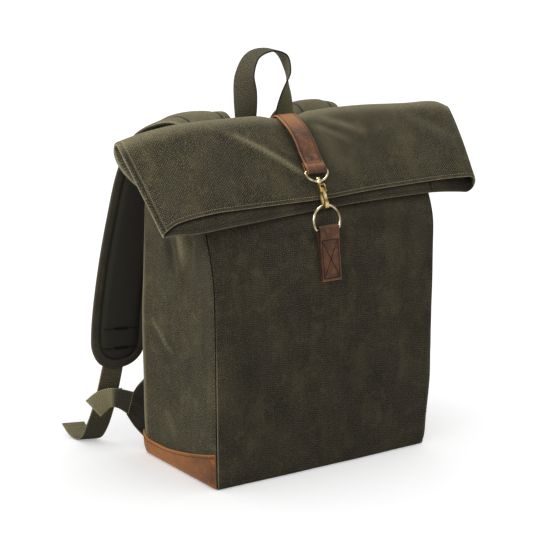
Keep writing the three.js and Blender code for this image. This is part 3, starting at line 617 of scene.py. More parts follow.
def flat_place(s, gap):
    """Place across the flattened cloth, and which layer: 0 is the front's, 1 the back's."""
    hand = np.where(s < 0, -1.0, 1.0)
    cloth = np.abs(s)
    turn = math.pi * gap / 4
    angle = (np.clip((cloth - CREASE) / turn, -1, 1) + 1) * math.pi / 2
    past = np.where(cloth <= CREASE - turn, cloth, 2 * CREASE - cloth)
    turning = np.abs(cloth - CREASE) < turn
    x = np.where(turning, CREASE - turn + gap / 2 * np.sin(angle), past)
    return hand * x, (1 - np.cos(angle)) / 2


def heading(degrees):
    return np.stack([np.cos(np.radians(degrees)), np.sin(np.radians(degrees))], axis=-1)


def bezier(p0, p1, p2, p3, t):
    t = np.asarray(t, float)[..., None] if np.ndim(t) else t
    return p0 * (1 - t) ** 3 + 3 * p1 * t * (1 - t) ** 2 + 3 * p2 * t**2 * (1 - t) + p3 * t**3


def fold_points(s, turned):
    """The cloth as it turns over the ridge, from 0 to 1."""
    x, layer = flat_place(s, LAYER_STEP)
    axis = read(RIDGE, "x", x)
    arrival = mix(FRONT_ARRIVAL, BACK_ARRIVAL, layer)
    way = heading(mix(arrival, read(FLAP, "x", x)["leave"], turned))
    radius = INNER_FOLD + LAYER_STEP * layer
    return xyz(x + FOLD_SHIFT, axis["y"] + radius * way[:, 1], axis["z"] - radius * way[:, 0])


def closing_points(s, raised):
    """The cloth that closes between the body and the ridge, from 0 to 1."""
    start = body_points(s, BODY_TOP)
    end = fold_points(s, 0)
    leave = unit(start - body_points(s, BODY_TOP - CLOSING_LOOK))
    way = heading(mix(FRONT_ARRIVAL, BACK_ARRIVAL, flat_place(s, LAYER_STEP)[1]))
    way = np.insert(way, 0, 0, axis=1)
    reach = np.linalg.norm(end - start, axis=1)[:, None]
    stops = (start, start + leave * CLOSING_LEAVE * reach, end - way * CLOSING_ARRIVE * reach, end)
    return bezier(*stops, raised)


def flap_points(s, hung):
    """Both layers of the flap, from 0 at the ridge to 1 at the hem."""
    ends = read(FLAP, "x", np.where(s < 0, -CREASE, CREASE))["mouth"]
    x, layer = flat_place(s, mix(LAYER_STEP, ends, hung**2))
    row = read(FLAP, "x", x)
    axis = read(RIDGE, "x", x)
    leave, arrive = heading(row["leave"]), heading(row["arrive"])
    outer = INNER_FOLD + LAYER_STEP
    start = np.stack([axis["y"] + outer * leave[:, 1], axis["z"] - outer * leave[:, 0]], axis=1)
    end = np.stack([row["y"], row["z"]], axis=1)
    length = np.linalg.norm(end - start, axis=1)
    reach = FLAP_HANDLE * length[:, None]
    run = hung * (1 + (1 - layer) * row["over"] / length)
    held = np.minimum(run, 1)
    stops = (start, start + leave * reach, end - arrive * reach, end)
    place = bezier(*stops, held) + arrive * (np.maximum(run - 1, 0) * length)[:, None]
    way = unit(bezier(*stops, held) - bezier(*stops, held - 0.01))
    inward = mix(LAYER_STEP, row["mouth"], hung**2) * (1 - layer)
    return xyz(x + FOLD_SHIFT, place[:, 0] - inward * way[:, 1], place[:, 1] + inward * way[:, 0])


def cloth_low(s):
    """Height of the cloth's lower edge."""
    corner = smooth(np.abs(s), BASE_BACK_CLOTH, BASE_BACK_CLOTH + BACK_CORNER)
    return np.where(np.abs(s) <= FRONT_HALF, HEM_LOW, mix(WRAP_SIDE_LOW, HEM_LOW, corner))


def cloth_mid(s, part, at):
    """A row of the cloth's middle surface, without its creases."""
    if part == "body":
        return body_points(s, np.maximum(at, cloth_low(s)))
    return {"closing": closing_points, "fold": fold_points, "flap": flap_points}[part](s, at)


def cloth_height(part, at):
    """Distance up the cloth, for weave and creases."""
    start, length = CLOTH_PARTS[part]
    return start + at * length


def cloth_row(s, part, at):
    """One row of the cloth: its creased middle surface, its outward directions and its sharp creases."""
    s = np.asarray(s, float)
    edges = (WRAP_LOOK_EDGE, BACK_MIDDLE + 1) if np.abs(s).max() > FRONT_HALF else (0, FRONT_LOOK_EDGE)
    ahead, behind = (np.sign(s + d) * np.clip(np.abs(s + d), *edges) for d in (SLOPE_ACROSS, -SLOPE_ACROSS))
    middle = cloth_mid(s, part, at)
    across = cloth_mid(ahead, part, at) - cloth_mid(behind, part, at)
    if part == "body":
        up = body_points(s, at + 1) - body_points(s, at - 1)
    else:
        low, high = max(at - SLOPE_SHARE, 0), min(at + SLOPE_SHARE, 1)
        up = cloth_mid(s, part, high) - cloth_mid(s, part, low)
    out = unit(np.cross(across, up))
    height = cloth_height(part, at)
    if part in ("body", "closing"):
        depth, sharp = (-creases(BODY_CREASES, s, height, 1, sharp) for sharp in (False, True))
        lift = depth + ripple(s, height)
    else:
        x, layer = flat_place(s, LAYER_STEP)
        run = at if part == "flap" else 0.0
        depth, sharp = (-creases(FLAP_CREASES, x, run, FLAP_LENGTH, sharp) for sharp in (False, True))
        lift = (depth + ripple(x, height) * smooth(height, *FLAP_RIPPLE)) * (2 * layer - 1)
    return middle + out * lift[:, None], out, sharp


def cloth_rows():
    rows = [("body", z) for z in np.arange(0, BODY_TOP + 0.1, ROW_STEP)]
    for part, count in (("closing", CLOSING_ROWS), ("fold", FOLD_ROWS), ("flap", FLAP_ROWS)):
        rows += [(part, (n + 1) / count) for n in range(count)]
    hem = 1 - (HEM_ROWS[0] + 1) / FLAP_LENGTH
    rows = [(part, at) for part, at in rows if part != "flap" or at < hem]
    return rows + [("flap", 1 - left / FLAP_LENGTH) for left in HEM_ROWS]


# Meshes

def new_mesh(name, points, faces, uv, paint, slot, **attributes):
    """A piece from points in mm, faces, cloth coordinates and painted values."""
    mesh = bpy.data.meshes.new(name)
    mesh.from_pydata((np.asarray(points) * MM).tolist(), [], [list(map(int, f)) for f in faces])
    mesh.validate()
    layer = mesh.uv_layers.new(name="cloth")
    corner = np.zeros(len(mesh.loops), np.int32)
    mesh.loops.foreach_get("vertex_index", corner)
    layer.data.foreach_set("uv", (np.asarray(uv, float)[corner] * MM).ravel())
    for key, values in attributes.items():
        data = mesh.attributes.new(key, "FLOAT", "POINT").data
        data.foreach_set("value", np.asarray(values, np.float32).ravel())
    mesh.shade_smooth()
    mesh.set_sharp_from_angle(angle=math.radians(50))
    mesh.materials.append(paint.material)
    obj = bpy.data.objects.new(name, mesh)
    bpy.context.scene.collection.objects.link(obj)
    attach(obj, "bag")
    if name.endswith(LOOK):
        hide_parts(name.removesuffix(LOOK))
    return obj


def wall(name, grid, out, thick, uv, paint, slot, **attributes):
    """A closed cloth wall about a grid of its middle surface."""
    rows, count = grid.shape[:2]
    total = rows * count
    half = np.broadcast_to(thick, (rows, count))[..., None] / 2
    points = join((grid + out * half).reshape(-1, 3), (grid - out * half).reshape(-1, 3))
    index = np.arange(total).reshape(rows, count)
    corners = [index[:-1, :-1], index[:-1, 1:], index[1:, 1:], index[1:, :-1]]
    quads = np.stack(corners, axis=-1).reshape(-1, 4)
    ring = join(index[0], index[1:, -1], index[-1, -2::-1], index[-2:0:-1, 0])
    after = np.roll(ring, -1)
    rim = np.stack([ring, ring + total, after + total, after], axis=1)
    faces = join(quads, quads[:, ::-1] + total, rim)
    both = {key: np.tile(value.ravel(), 2) for key, value in attributes.items()}
    new_mesh(name, points, faces, np.tile(uv.reshape(-1, 2), (2, 1)), paint, slot, **both)


def ring_faces(index, closed=False):
    """Quads round rings of point numbers, with end caps unless the rings meet end to end."""
    after = np.roll(index, -1, axis=-1)
    if closed:
        quads = np.stack([index, after, np.roll(after, -1, axis=-2), np.roll(index, -1, axis=-2)], axis=-1)
        return list(quads.reshape(-1, 4))
    corners = [index[..., :-1, :], after[..., :-1, :], after[..., 1:, :], index[..., 1:, :]]
    quads = np.stack(corners, axis=-1)
    sides = index.shape[-1]
    caps = [*index[..., 0, ::-1].reshape(-1, sides), *index[..., -1, :].reshape(-1, sides)]
    return [*quads.reshape(-1, 4), *caps]


def band(name, frames, paint, slot, shape, rub_and_highlight=0.0, edge=(0.5, 0.5), shade=(0.0, 0.0)):
    """A strap with rounded edges along frames: middle, across, face, width and thickness.

    Edge sets how much paler its two edges are, and its rows can be made paler as well, partly scuffing and
    partly painted highlight. Shade darkens its rows and its first edge.
    """
    point, across, face, width, thick = frames
    flat, crown, sides = shape
    angle = circle(sides)
    a = np.sign(np.cos(angle)) * np.abs(np.cos(angle)) ** flat
    b = np.sign(np.sin(angle)) * np.abs(np.sin(angle)) ** crown
    off = a * width[:, None] / 2
    rings = point[:, None] + across[:, None] * off[..., None]
    rings = rings + face[:, None] * (b * thick[:, None] / 2)[..., None]
    uv = np.stack(np.broadcast_arrays(off, distance(point)[:, None]), axis=-1)
    rubbed_and_lit = np.where(a < 0, *edge) * smooth(np.abs(a), 0.9, 1) + np.reshape(rub_and_highlight, (-1, 1))
    dark = np.reshape(shade[0], (-1, 1)) + shade[1] * smooth(-a, 0.9, 1)
    faces = ring_faces(np.arange(off.size).reshape(off.shape))
    wear, shade = (np.broadcast_to(values, off.shape) for values in (np.clip(rubbed_and_lit, 0, 1), dark))
    new_mesh(name, rings.reshape(-1, 3), faces, uv.reshape(-1, 2), paint, slot, wear=wear, shade=shade)


def tube(name, path, radius, sides, paint, slot, extra=None):
    """A round wire bent into a closed loop that lies in one plane, with extra points and faces."""
    count = len(path)
    way = unit(np.roll(path, -1, axis=0) - np.roll(path, 1, axis=0))
    normal = unit(np.cross(path[count // 3] - path[0], path[2 * count // 3] - path[0]))
    side = np.cross(way, normal)[:, None]
    angle = circle(sides)[:, None]
    rings = path[:, None] + radius * (side * np.cos(angle) + normal * np.sin(angle))
    points = rings.reshape(-1, 3)
    faces = ring_faces(np.arange(len(points)).reshape(count, sides), True)
    if extra is not None:
        faces += [face + len(points) for face in extra[1]]
        points = join(points, extra[0])
    new_mesh(name, points, faces, points[:, :2], paint, slot)


def stitches(name, lines, paint, slot, pitch, length, radius):
    """Short raised threads along lines of points, each line with its outward directions."""
    shape = table("share size drop", (-0.5, 0.35, -0.7), (-0.3, 1, 0.25), (0.3, 1, 0.25), (0.5, 0.35, -0.7))
    share, size, drop = (column[:, None, None] for column in shape.values())
    angle = circle(6)[:, None]
    points, faces, start = [], [], 0
    for line, out in lines:
        run = distance(line)
        places = np.arange(pitch / 2, run[-1], pitch)
        way = unit(placed(line, run, places + 0.4) - placed(line, run, places - 0.4))
        side = unit(np.cross(way, unit(placed(out, run, places))))
        up = np.cross(side, way)
        ring = side[:, None] * np.cos(angle) + up[:, None] * np.sin(angle)
        block = placed(line, run, places)[:, None, None] + way[:, None, None] * (share * length)
        block = block + up[:, None, None] * (drop * radius) + ring[:, None] * (size * radius)
        faces += ring_faces(start + np.arange(block[..., 0].size).reshape(block.shape[:3]))
        points.append(block.reshape(-1, 3))
        start += block[..., 0].size
    points = np.concatenate(points)
    new_mesh(name, points, faces, points[:, :2], paint, slot)


# Materials. Colours are display values of 0 to 255

def srgb(r, g, b):
    """A display colour as a linear colour."""
    return (*(((c / 255 + 0.055) / 1.055) ** 2.4 if c > 10 else c / 255 / 12.92 for c in (r, g, b)), 1.0)


class Paint:
    """A material, its colour so far, and short ways to add nodes to it."""

    def __init__(self, name, roughness, colour=None, **fixed):
        self.material = bpy.data.materials.new(name)
        self.material.use_nodes = True
        self.tree = self.material.node_tree
        self.main = self.tree.nodes["Principled BSDF"].inputs
        self.main["Roughness"].default_value = roughness
        self.colour = colour
        for key, value in fixed.items():
            self.main[key.replace("_", " ")].default_value = value

    def put(self, value, socket):
        if isinstance(value, bpy.types.NodeSocket):
            self.tree.links.new(value, socket)
        else:
            socket.default_value = value

    def node(self, kind, inputs=(), **settings):
        made = self.tree.nodes.new("ShaderNode" + kind)
        for key, value in settings.items():
            setattr(made, key, value)
        for key, value in dict(inputs).items():
            self.put(value, made.inputs[key])
        return made.outputs

    def cloth(self, scale=(1, 1, 1), turn=0.0):
        """Cloth coordinates in metres, stretched and turned."""
        source = self.node("UVMap", uv_map="cloth")["UV"]
        return self.node("Mapping", {"Vector": source, "Scale": scale, "Rotation": (0, 0, turn)})[0]

    def solid(self):
        return self.node("TexCoord")["Object"]

    def noise(self, place, scale, detail, rough=0.55):
        inputs = {"Vector": place, "Scale": scale, "Detail": detail, "Roughness": rough}
        return self.node("TexNoise", inputs)["Fac"]

    def maths(self, kind, a, b=0.0, clamp=False):
        return self.node("Math", {0: a, 1: b}, operation=kind, use_clamp=clamp)[0]

    def times(self, a, b, clamp=False):
        return self.maths("MULTIPLY", a, b, clamp)

    def spread(self, value, low, high, to_low=0.0, to_high=1.0):
        limits = {"From Min": low, "From Max": high, "To Min": to_low, "To Max": to_high}
        return self.node("MapRange", {"Value": value, **limits})[0]

    def painted(self, key):
        return self.node("Attribute", attribute_name=key)["Fac"]

    def blend(self, share, a, b):
        a, b = (c if isinstance(c, bpy.types.NodeSocket) else srgb(*c) for c in (a, b))
        return self.node("Mix", {0: share, 6: a, 7: b}, data_type="RGBA", clamp_factor=True)[2]

    def over(self, share, colour):
        """Lays a colour over the one so far."""
        self.colour = self.blend(share, self.colour, colour)
        self.put(self.colour, self.main["Base Color"])

    def cover(self, value, low, high, colour, share=1.0):
        """Lays a colour over where a value goes from low to high, up to a share."""
        self.over(self.spread(value, low, high, 0, share), colour)

    def bump(self, height, strength, distance):
        inputs = {"Height": height, "Strength": strength, "Distance": distance}
        self.put(self.node("Bump", inputs)["Normal"], self.main["Normal"])

    def weave(self, pitch, turn, uneven=1.5):
        """Two crossing sets of threads, a pitch in metres apart."""
        sets = []
        for way in (turn, turn + math.pi / 2):
            inputs = {"Vector": self.cloth(turn=way), "Scale": WAVE_PITCH / pitch, "Distortion": uneven}
            sets.append(self.node("TexWave", inputs)["Fac"])
        return self.times(*sets)


def canvas(name, base, dark, pale, grain=0.8, streaks=0.5, slant=52, uneven=3.5, mottle=0.3):
    """Waxed canvas: mottled and streaked, with slanted threads that show, pale edges that are partly scuffed
    and partly painted highlight, and painted shade.
    """
    paint = Paint(name, 0.8, dark, Specular_IOR_Level=0.08, Sheen_Weight=0.2, Sheen_Roughness=0.3,
                  Sheen_Tint=srgb(190, 180, 150))
    flat = paint.cloth()
    big = paint.noise(flat, 16, 4, 0.6)
    cloudy = paint.noise(flat, 70, 5, 0.65)
    upright = paint.noise(paint.cloth((1, 0.08, 1)), 300, 4, 0.7)
    fine = paint.noise(flat, 620, 3, 0.7)
    rust = paint.noise(flat, 30, 3, 0.6)
    stains = paint.noise(paint.cloth((1, 0.5, 1)), 26, 4, 0.6)
    threads = paint.weave(CANVAS_PITCH, math.radians(slant), uneven)
    paint.cover(big, 0.34, 0.66, base)
    paint.cover(rust, 0.5, 0.72, (52, 38, 25), 0.28)
    paint.cover(upright, 0.44, 0.66, dark, streaks)
    paint.cover(cloudy, 0.52, 0.72, pale, 0.3)
    paint.cover(stains, 0.5, 0.64, (35, 32, 28), mottle)
    paint.cover(stains, 0.48, 0.34, (60, 55, 38), mottle)
    light = paint.times(paint.times(threads, paint.spread(fine, 0.4, 0.6)), 1.6, True)
    paint.over(paint.times(light, grain), pale)
    dips = paint.times(paint.spread(threads, 0.3, 0), paint.spread(fine, 0.58, 0.4, 0.3, 1))
    paint.over(paint.times(dips, 0.8 * grain), dark)
    # Painted shade, then the paler places, partly scuffing and partly painted highlight
    paint.over(paint.times(paint.painted("shade"), 0.8), (20, 18, 12))
    worn_and_lit = paint.times(paint.painted("wear"), paint.spread(fine, 0.32, 0.6, 0.45, 1))
    paint.over(worn_and_lit, (150, 141, 112))
    paint.put(paint.spread(cloudy, 0.3, 0.7, 0.66, 0.86), paint.main["Roughness"])
    height = paint.maths("ADD", paint.maths("SUBTRACT", light, dips), paint.times(cloudy, 1.5))
    paint.bump(height, 0.5, 0.0006)
    return paint


def leather(name, base, dark, pale):
    """Oiled leather: pebbled grain, darker pull-up patches, pale edges and bends that are partly scuffed and
    partly painted highlight, and painted shade.
    """
    paint = Paint(name, 0.5, dark, Specular_IOR_Level=0.2)
    place = paint.solid()
    mid = paint.noise(place, 150, 5, 0.7)
    cells = paint.node("TexVoronoi", {"Vector": place, "Scale": 800.0})["Distance"]
    paint.cover(paint.noise(place, 34, 4, 0.6), 0.38, 0.62, base)
    paint.cover(mid, 0.5, 0.74, pale, 0.5)
    paint.over(paint.spread(cells, 0.0, 0.45, 0.45, 0.0), dark)
    # Paler where scuffed and where a highlight is painted, then painted shade
    paint.over(paint.painted("wear"), pale)
    paint.over(paint.painted("shade"), (24, 13, 8))
    paint.put(paint.spread(mid, 0.3, 0.7, 0.4, 0.62), paint.main["Roughness"])
    paint.bump(paint.maths("ADD", paint.times(cells, 0.8), mid), 0.4, 0.0006)
    return paint


def webbing(name, base, dark, pale):
    """Herringbone webbing: slanted ribs that change way from column to column."""
    paint = Paint(name, 0.85, dark, Specular_IOR_Level=0.15)
    place = paint.cloth()
    across, along, _ = paint.node("SeparateXYZ", {"Vector": place})
    zigzag = paint.maths("PINGPONG", across, RIB_COLUMN)
    run = paint.maths("ADD", along, paint.times(zigzag, 1.2))
    ribs = paint.maths("SINE", paint.times(run, 2 * math.pi / RIB_PITCH))
    ribs = paint.spread(ribs, -0.4, 0.4)
    fuzz = paint.noise(place, 700, 3, 0.6)
    paint.over(ribs, base)
    paint.cover(fuzz, 0.45, 0.75, pale, 0.4)
    # Painted shade, then the paler parts, partly scuffing and partly painted highlight
    paint.over(paint.times(paint.painted("shade"), 0.9), dark)
    paint.over(paint.times(paint.painted("wear"), paint.spread(ribs, 0, 1, 0.3, 0.8)), pale)
    paint.bump(paint.maths("ADD", ribs, paint.times(fuzz, 0.6)), 0.6, 0.0004)
    return paint


def pad_cloth(name, base, dark, pale, lining):
    """Canvas pad with a dark woven lining on its inner face."""
    paint = canvas(name, base, dark, pale, 0.35)
    mesh = paint.weave(LINING_PITCH, math.radians(45))
    inner = paint.blend(paint.spread(mesh, 0.2, 1, 0, 0.35), lining, dark)
    paint.over(paint.painted("lining"), inner)
    # Painted shade in the groove of the border's seam
    paint.over(paint.painted("groove"), (9, 8, 6))
    return paint


def brass(name, base, dark, roughness):
    paint = Paint(name, roughness, dark, Metallic=1.0)
    place = paint.solid()
    patch = paint.noise(place, 140, 4, 0.6)
    paint.cover(patch, 0.38, 0.7, base)
    paint.put(paint.spread(patch, 0.3, 0.7, roughness + 0.16, roughness - 0.08), paint.main["Roughness"])
    paint.bump(paint.noise(place, 900, 2), 0.04, 0.0003)
    return paint


def plastic(name, base, pale):
    paint = Paint(name, 0.5, base)
    grain = paint.noise(paint.solid(), 1500, 2)
    paint.cover(grain, 0.3, 0.7, pale)
    paint.bump(grain, 0.2, 0.0003)
    return paint


def thread(name, base, dark):
    paint = Paint(name, 0.9, dark, Specular_IOR_Level=0.05)
    paint.cover(paint.noise(paint.solid(), 900, 2), 0.35, 0.65, base)
    return paint


wrap_canvas = canvas("waxed_canvas", (39, 37, 25), (18, 17, 11), (98, 92, 69), 0.66, 0.6, 52, 6, 0.5)
front_canvas = canvas("waxed_canvas_front", (43, 39, 28), (20, 18, 13), (84, 78, 60), 0.55, 0.65, 12, 7, 0.5)
pad_canvas = pad_cloth("padded_canvas", (62, 58, 44), (30, 28, 21), (98, 92, 72), (36, 34, 29))
# Near-black cloth of the wings, also used for the seams' strips: its darkness is painted shade, standing in
# for the shadow that the wings lie in
shaded_wing_canvas = canvas("shaded_wing_canvas", (14, 13, 10), (9, 8, 6), (25, 23, 18))
olive_webbing = webbing("olive_webbing", (68, 63, 47), (15, 14, 10), (136, 129, 96))
brown_leather = leather("brown_leather", (70, 42, 24), (37, 23, 14), (124, 83, 51))
tab_leather = leather("tab_leather", (72, 44, 27), (46, 29, 18), (120, 78, 46))
base_leather = leather("base_leather", (92, 54, 24), (58, 34, 17), (140, 89, 38))
hook_brass = brass("antique_brass", (226, 204, 142), (128, 104, 58), 0.28)
ring_brass = brass("pale_brass", (206, 194, 164), (122, 108, 80), 0.24)
slider_plastic = plastic("dark_plastic", (30, 30, 27), (52, 52, 48))
pale_thread = thread("pale_thread", (122, 115, 90), (84, 78, 60))
dark_thread = thread("dark_thread", (34, 23, 16), (24, 16, 11))
black_thread_and_shade = thread("black_thread_and_shade", (18, 16, 13), (11, 10, 8))
border_thread = thread("border_thread", (44, 40, 30), (24, 22, 16))


# Canvas front and wrap

def cloth_piece(name, places, paint):
    rows = cloth_rows()
    by_seam = np.abs(np.abs(places) - FRONT_HALF) < SEAM_JOIN
    joined = np.where(by_seam, np.sign(places) * FRONT_HALF, places)
    made = [cloth_row(joined if part == "flap" else places, part, at) for part, at in rows]
    grid, out, fold = (np.stack(values) for values in zip(*made))
    height = np.array([cloth_height(*row) for row in rows])[:, None]
    hung = np.array([at if part == "flap" else 0 for part, at in rows])[:, None]
    left = (1 - hung) * FLAP_LENGTH
    hem = fall(left, HEM_DEPTH - HEM_STEP, HEM_DEPTH) * (hung > 0)
    groove = hump(left, HEM_STITCH, 0.9) * (hung > 0)
    thick = CANVAS + HEM_EXTRA * hem - HEM_GROOVE * groove - HEM_THIN * fall(left, -0.2, 1.2)
    uv = np.stack(np.broadcast_arrays(places, height), axis=-1)
    # Paler places and crease ridges, partly scuffing, wax and painted highlight; painted shade in crease
    # hollows
    wear = cloth_wear(places, height, left, hung) + CREASE_WAX_AND_HIGHLIGHT * np.maximum(fold, 0)
    shade = cloth_shade(places, height, left, hung) + CREASE_SHADE * np.maximum(-fold, 0)
    wall(name, grid, out, thick, uv, paint, "canvas", wear=np.clip(wear, 0, 1), shade=np.clip(shade, 0, 1))


def cloth_wear(places, height, left, hung):
    """Paler places, partly scuffing and partly painted highlight: the flap's rim, the ears' creases, the
    back's rim, the seams and the crest.
    """
    cloth = np.abs(places)
    top = smooth(height, *FOLD_BEGINS)
    rim = hung * fall(left, 0.2, 0.9) * np.where(cloth < CREASE - 1, 0.2, 0.4)
    crease = smooth(height, *EAR_CREASE) * hump(cloth, CREASE, 0.7)
    crease = crease + 0.3 * top * hump(cloth, CREASE + 6.4, 0.8)
    back_rim = fall(height, *BACK_RIM_ENDS) * hump(cloth, BACK_RIM, 4.5)
    ridge = (1 - top) * fall(height, *SEAM_RUB_ENDS) * smooth(cloth, *SEAM_RIDGE) * (cloth < FRONT_HALF)
    crest = hump(height, CREST, 9) * (cloth > CREASE)
    return rim + 0.5 * crease + 0.5 * back_rim + 0.35 * ridge + 0.3 * crest


def cloth_shade(places, height, left, hung):
    """Painted shade beside the ears' creases, on the inner layer inside the mouth, by the floor and in the
    hem's stitch groove, and darker patches, partly wax blotches and partly painted shade.
    """
    cloth = np.abs(places)
    beside = smooth(height, *FOLD_BEGINS) * hump(cloth, CREASE + 3.6, 1.2)
    # The inner layer under the flap gets painted shade, more on the wrap, which also brings it to the front's
    # tone
    inside = (hung > 0) * np.where(cloth > FRONT_HALF, 1.7, 0.8) * (cloth < CREASE - 1)
    stitched = hump(left, HEM_STITCH, 0.8) * (hung > 0)
    # Painted shade by the floor and in the hem's stitch groove
    shade = 0.9 * beside + 0.4 * inside + 0.35 * np.exp(-height / 2.5) + 0.45 * stitched
    # Darker patches: wax blotches and painted shade
    for s, h, reach_s, reach_h, amount in zip(*DARK_PATCHES_AND_SHADE.values()):
        shade = shade + amount * hump(places, s, reach_s) * hump(height, h, reach_h)
    return shade


wide_columns = np.arange(0, FRONT_FINE_COLUMNS[0], COLUMN_STEP)
front_half = join(wide_columns, FRONT_FINE_COLUMNS, [FRONT_LOOK_EDGE])
cloth_piece("front_panel_look", mirrored(front_half), front_canvas)

near_crease = CREASE + join(np.linspace(-10, -2, 6), np.linspace(-1.4, 8.6, 17), [10])
half_places = join(
    np.arange(WRAP_LOOK_EDGE, CREASE - 11, COLUMN_STEP), near_crease,
    np.arange(CREASE + 12, BACK_MIDDLE - 1, COLUMN_STEP),
)
wrap_places = join(half_places, [BACK_MIDDLE], -half_places[::-1])
cloth_piece("body_wrap_look", wrap_places, wrap_canvas)


def seam(name, hand):
    """A dark strip inside the seam that stops the light, and a black line in its groove that stands in for
    the groove's shade, as painted shade.
    """
    grid, shade_cord, outs = [], [], []
    for part, at in cloth_rows():
        if part == "flap":
            break
        front, front_out, _ = cloth_row(np.array([SEAM_STRIP[0], FRONT_LOOK_EDGE]) * hand, part, at)
        back, back_out, _ = cloth_row(np.array([WRAP_LOOK_EDGE, SEAM_STRIP[1]]) * hand, part, at)
        grid.append(join(front - SEAM_STRIP_IN * front_out, back - SEAM_STRIP_IN * back_out))
        outs.append(unit(front_out[1] + back_out[0]))
        shade_cord.append((front[1] + back[0]) / 2 + outs[-1] * SEAM_SHADE_CORD_OUT)
    grid, shade_cord, outs = np.stack(grid), np.stack(shade_cord), np.stack(outs)
    out = unit(np.cross(np.gradient(grid, axis=1) * hand, np.gradient(grid, axis=0)))
    wear = np.zeros(grid.shape[:2])
    wall(f"seam_{name}", grid, out, SEAM_STRIP_THICK, grid[..., ::2], shaded_wing_canvas, "canvas", wear=wear)
    # The black line in the groove is painted shade
    way = unit(np.gradient(shade_cord, axis=0))
    size = np.full(len(shade_cord), SEAM_SHADE_CORD)
    frames = shade_cord, unit(np.cross(way, outs)), outs, size, size
    band(f"seam_cord_{name}", frames, black_thread_and_shade, "canvas", SHADE_CORD_SHAPE)


for side_name, side_hand in SIDES:
    seam(side_name, side_hand)


def hem_stitches():
    half = np.arange(CREASE + 6, BACK_MIDDLE, 2.0)
    other = -np.arange(BACK_MIDDLE, CREASE + 6, -2.0)
    point, out, _ = cloth_row(join(half, other), "flap", 1 - HEM_STITCH / FLAP_LENGTH)
    line = point + out * (CANVAS / 2 + 0.3)
    stitches("hem_stitches", [(line, out)], pale_thread, "canvas", pitch=3.4, length=1.9, radius=0.42)


hem_stitches()


# Leather base

def base_top(back):
    rise = np.maximum(1 - back / BASE_RISE, 0) ** BASE_SWEEP
    return mix(BASE_HEIGHT_BACK, BASE_HEIGHT_FRONT, rise) + BASE_BACK_RISE * smooth(back, 0.88, 1)


def base_points(across, back):
    """Middle of the leather: across is 0 to 1 on the bottom, to 2 round the bend, to 3 up the side."""
    hand = np.where(across < 0, -1.0, 1.0)
    place = np.abs(across)
    cloth = mix(WRAP_EDGE, BASE_LOOK_BACK, back)
    bend_top = LEATHER / 2 + BASE_BEND
    angle = np.clip(place - 1, 0, 1) * math.pi / 2
    z = np.where(place >= 2, mix(bend_top, base_top(back), place - 2), bend_top - BASE_BEND * np.cos(angle))
    side = body_points(hand * cloth, np.maximum(z, bend_top))
    ahead, behind = cloth + 1, np.maximum(cloth - 1, WRAP_EDGE + 2)
    way = body_points(hand * ahead, bend_top) - body_points(hand * behind, bend_top)
    outward = unit(xyz(way[..., 1], -way[..., 0], 0)) * hand[..., None]
    outward = np.where((cloth < BASE_BACK_CLOTH - 8)[..., None], hand[..., None] * RIGHT, outward)
    reach = CANVAS / 2 + TOUCH + LEATHER / 2 - np.where(place >= 2, 0, BASE_BEND * (1 - np.sin(angle)))
    point = side + outward * reach[..., None]
    point[..., 2] = z
    inside_y = mix(mix(BASE_FRONT, BASE_BACK, back), point[..., 1], smooth(place, BASE_SQUARE, 1))
    inside = xyz(point[..., 0] * place, inside_y, z)
    return np.where((place < 1)[..., None], inside, point)


def leather_base():
    half = join(
        np.linspace(0, BASE_SQUARE, 10), np.linspace(0.93, 1, 4), np.linspace(1.1, 2, 10),
        np.linspace(2.08, 2.92, 12), [2.955, 2.985, 3],
    )
    across, back = np.meshgrid(mirrored(half), np.linspace(0, 1, 44))
    grid = base_points(across, back)
    out = unit(np.cross(np.gradient(grid, axis=0), np.gradient(grid, axis=1)))
    rise = np.abs(across)
    grid = grid - out * (BASE_TUCK * fall(back, 0, 0.06) * smooth(rise, 1.2, 2))[..., None]
    # A paler top edge, partly scuffing and partly painted highlight, a paler band round the bend, and paler
    # towards the back
    wear = 0.9 * smooth(rise, 2.97, 3) + 0.3 * hump(rise, 1.6, 0.35) + 0.45 * smooth(back, 0.1, 0.7)
    thick = LEATHER - 0.9 * smooth(rise, 2.95, 3)
    uv = np.stack([across * 50, back * 150], axis=-1)
    wall("leather_base_look", grid, out, thick, uv, base_leather, "leather", wear=np.clip(wear, 0, 1))
    lines = []
    back = np.linspace(0.01, 0.99, 90)
    drop = BASE_STITCH / (base_top(back) - LEATHER / 2 - BASE_BEND)
    for _, hand in SIDES:
        line = base_points(hand * (3 - drop), back)
        outward = unit(np.cross(np.gradient(line, axis=0), [0, 0, hand]))
        lines.append((line + outward * (LEATHER / 2 - 0.1), outward))
    stitches("base_stitches", lines, dark_thread, "leather", pitch=4.2, length=3.0, radius=0.42)


leather_base()


# Closure strap, eye and ring

def level_frames(path, width, thick):
    """Frames of a strap whose width lies level, left to right."""
    across = np.broadcast_to(RIGHT, path.shape)
    face = np.cross(across, unit(np.gradient(path, axis=0)))
    return path, across, face, np.full(len(path), width), np.full(len(path), thick)


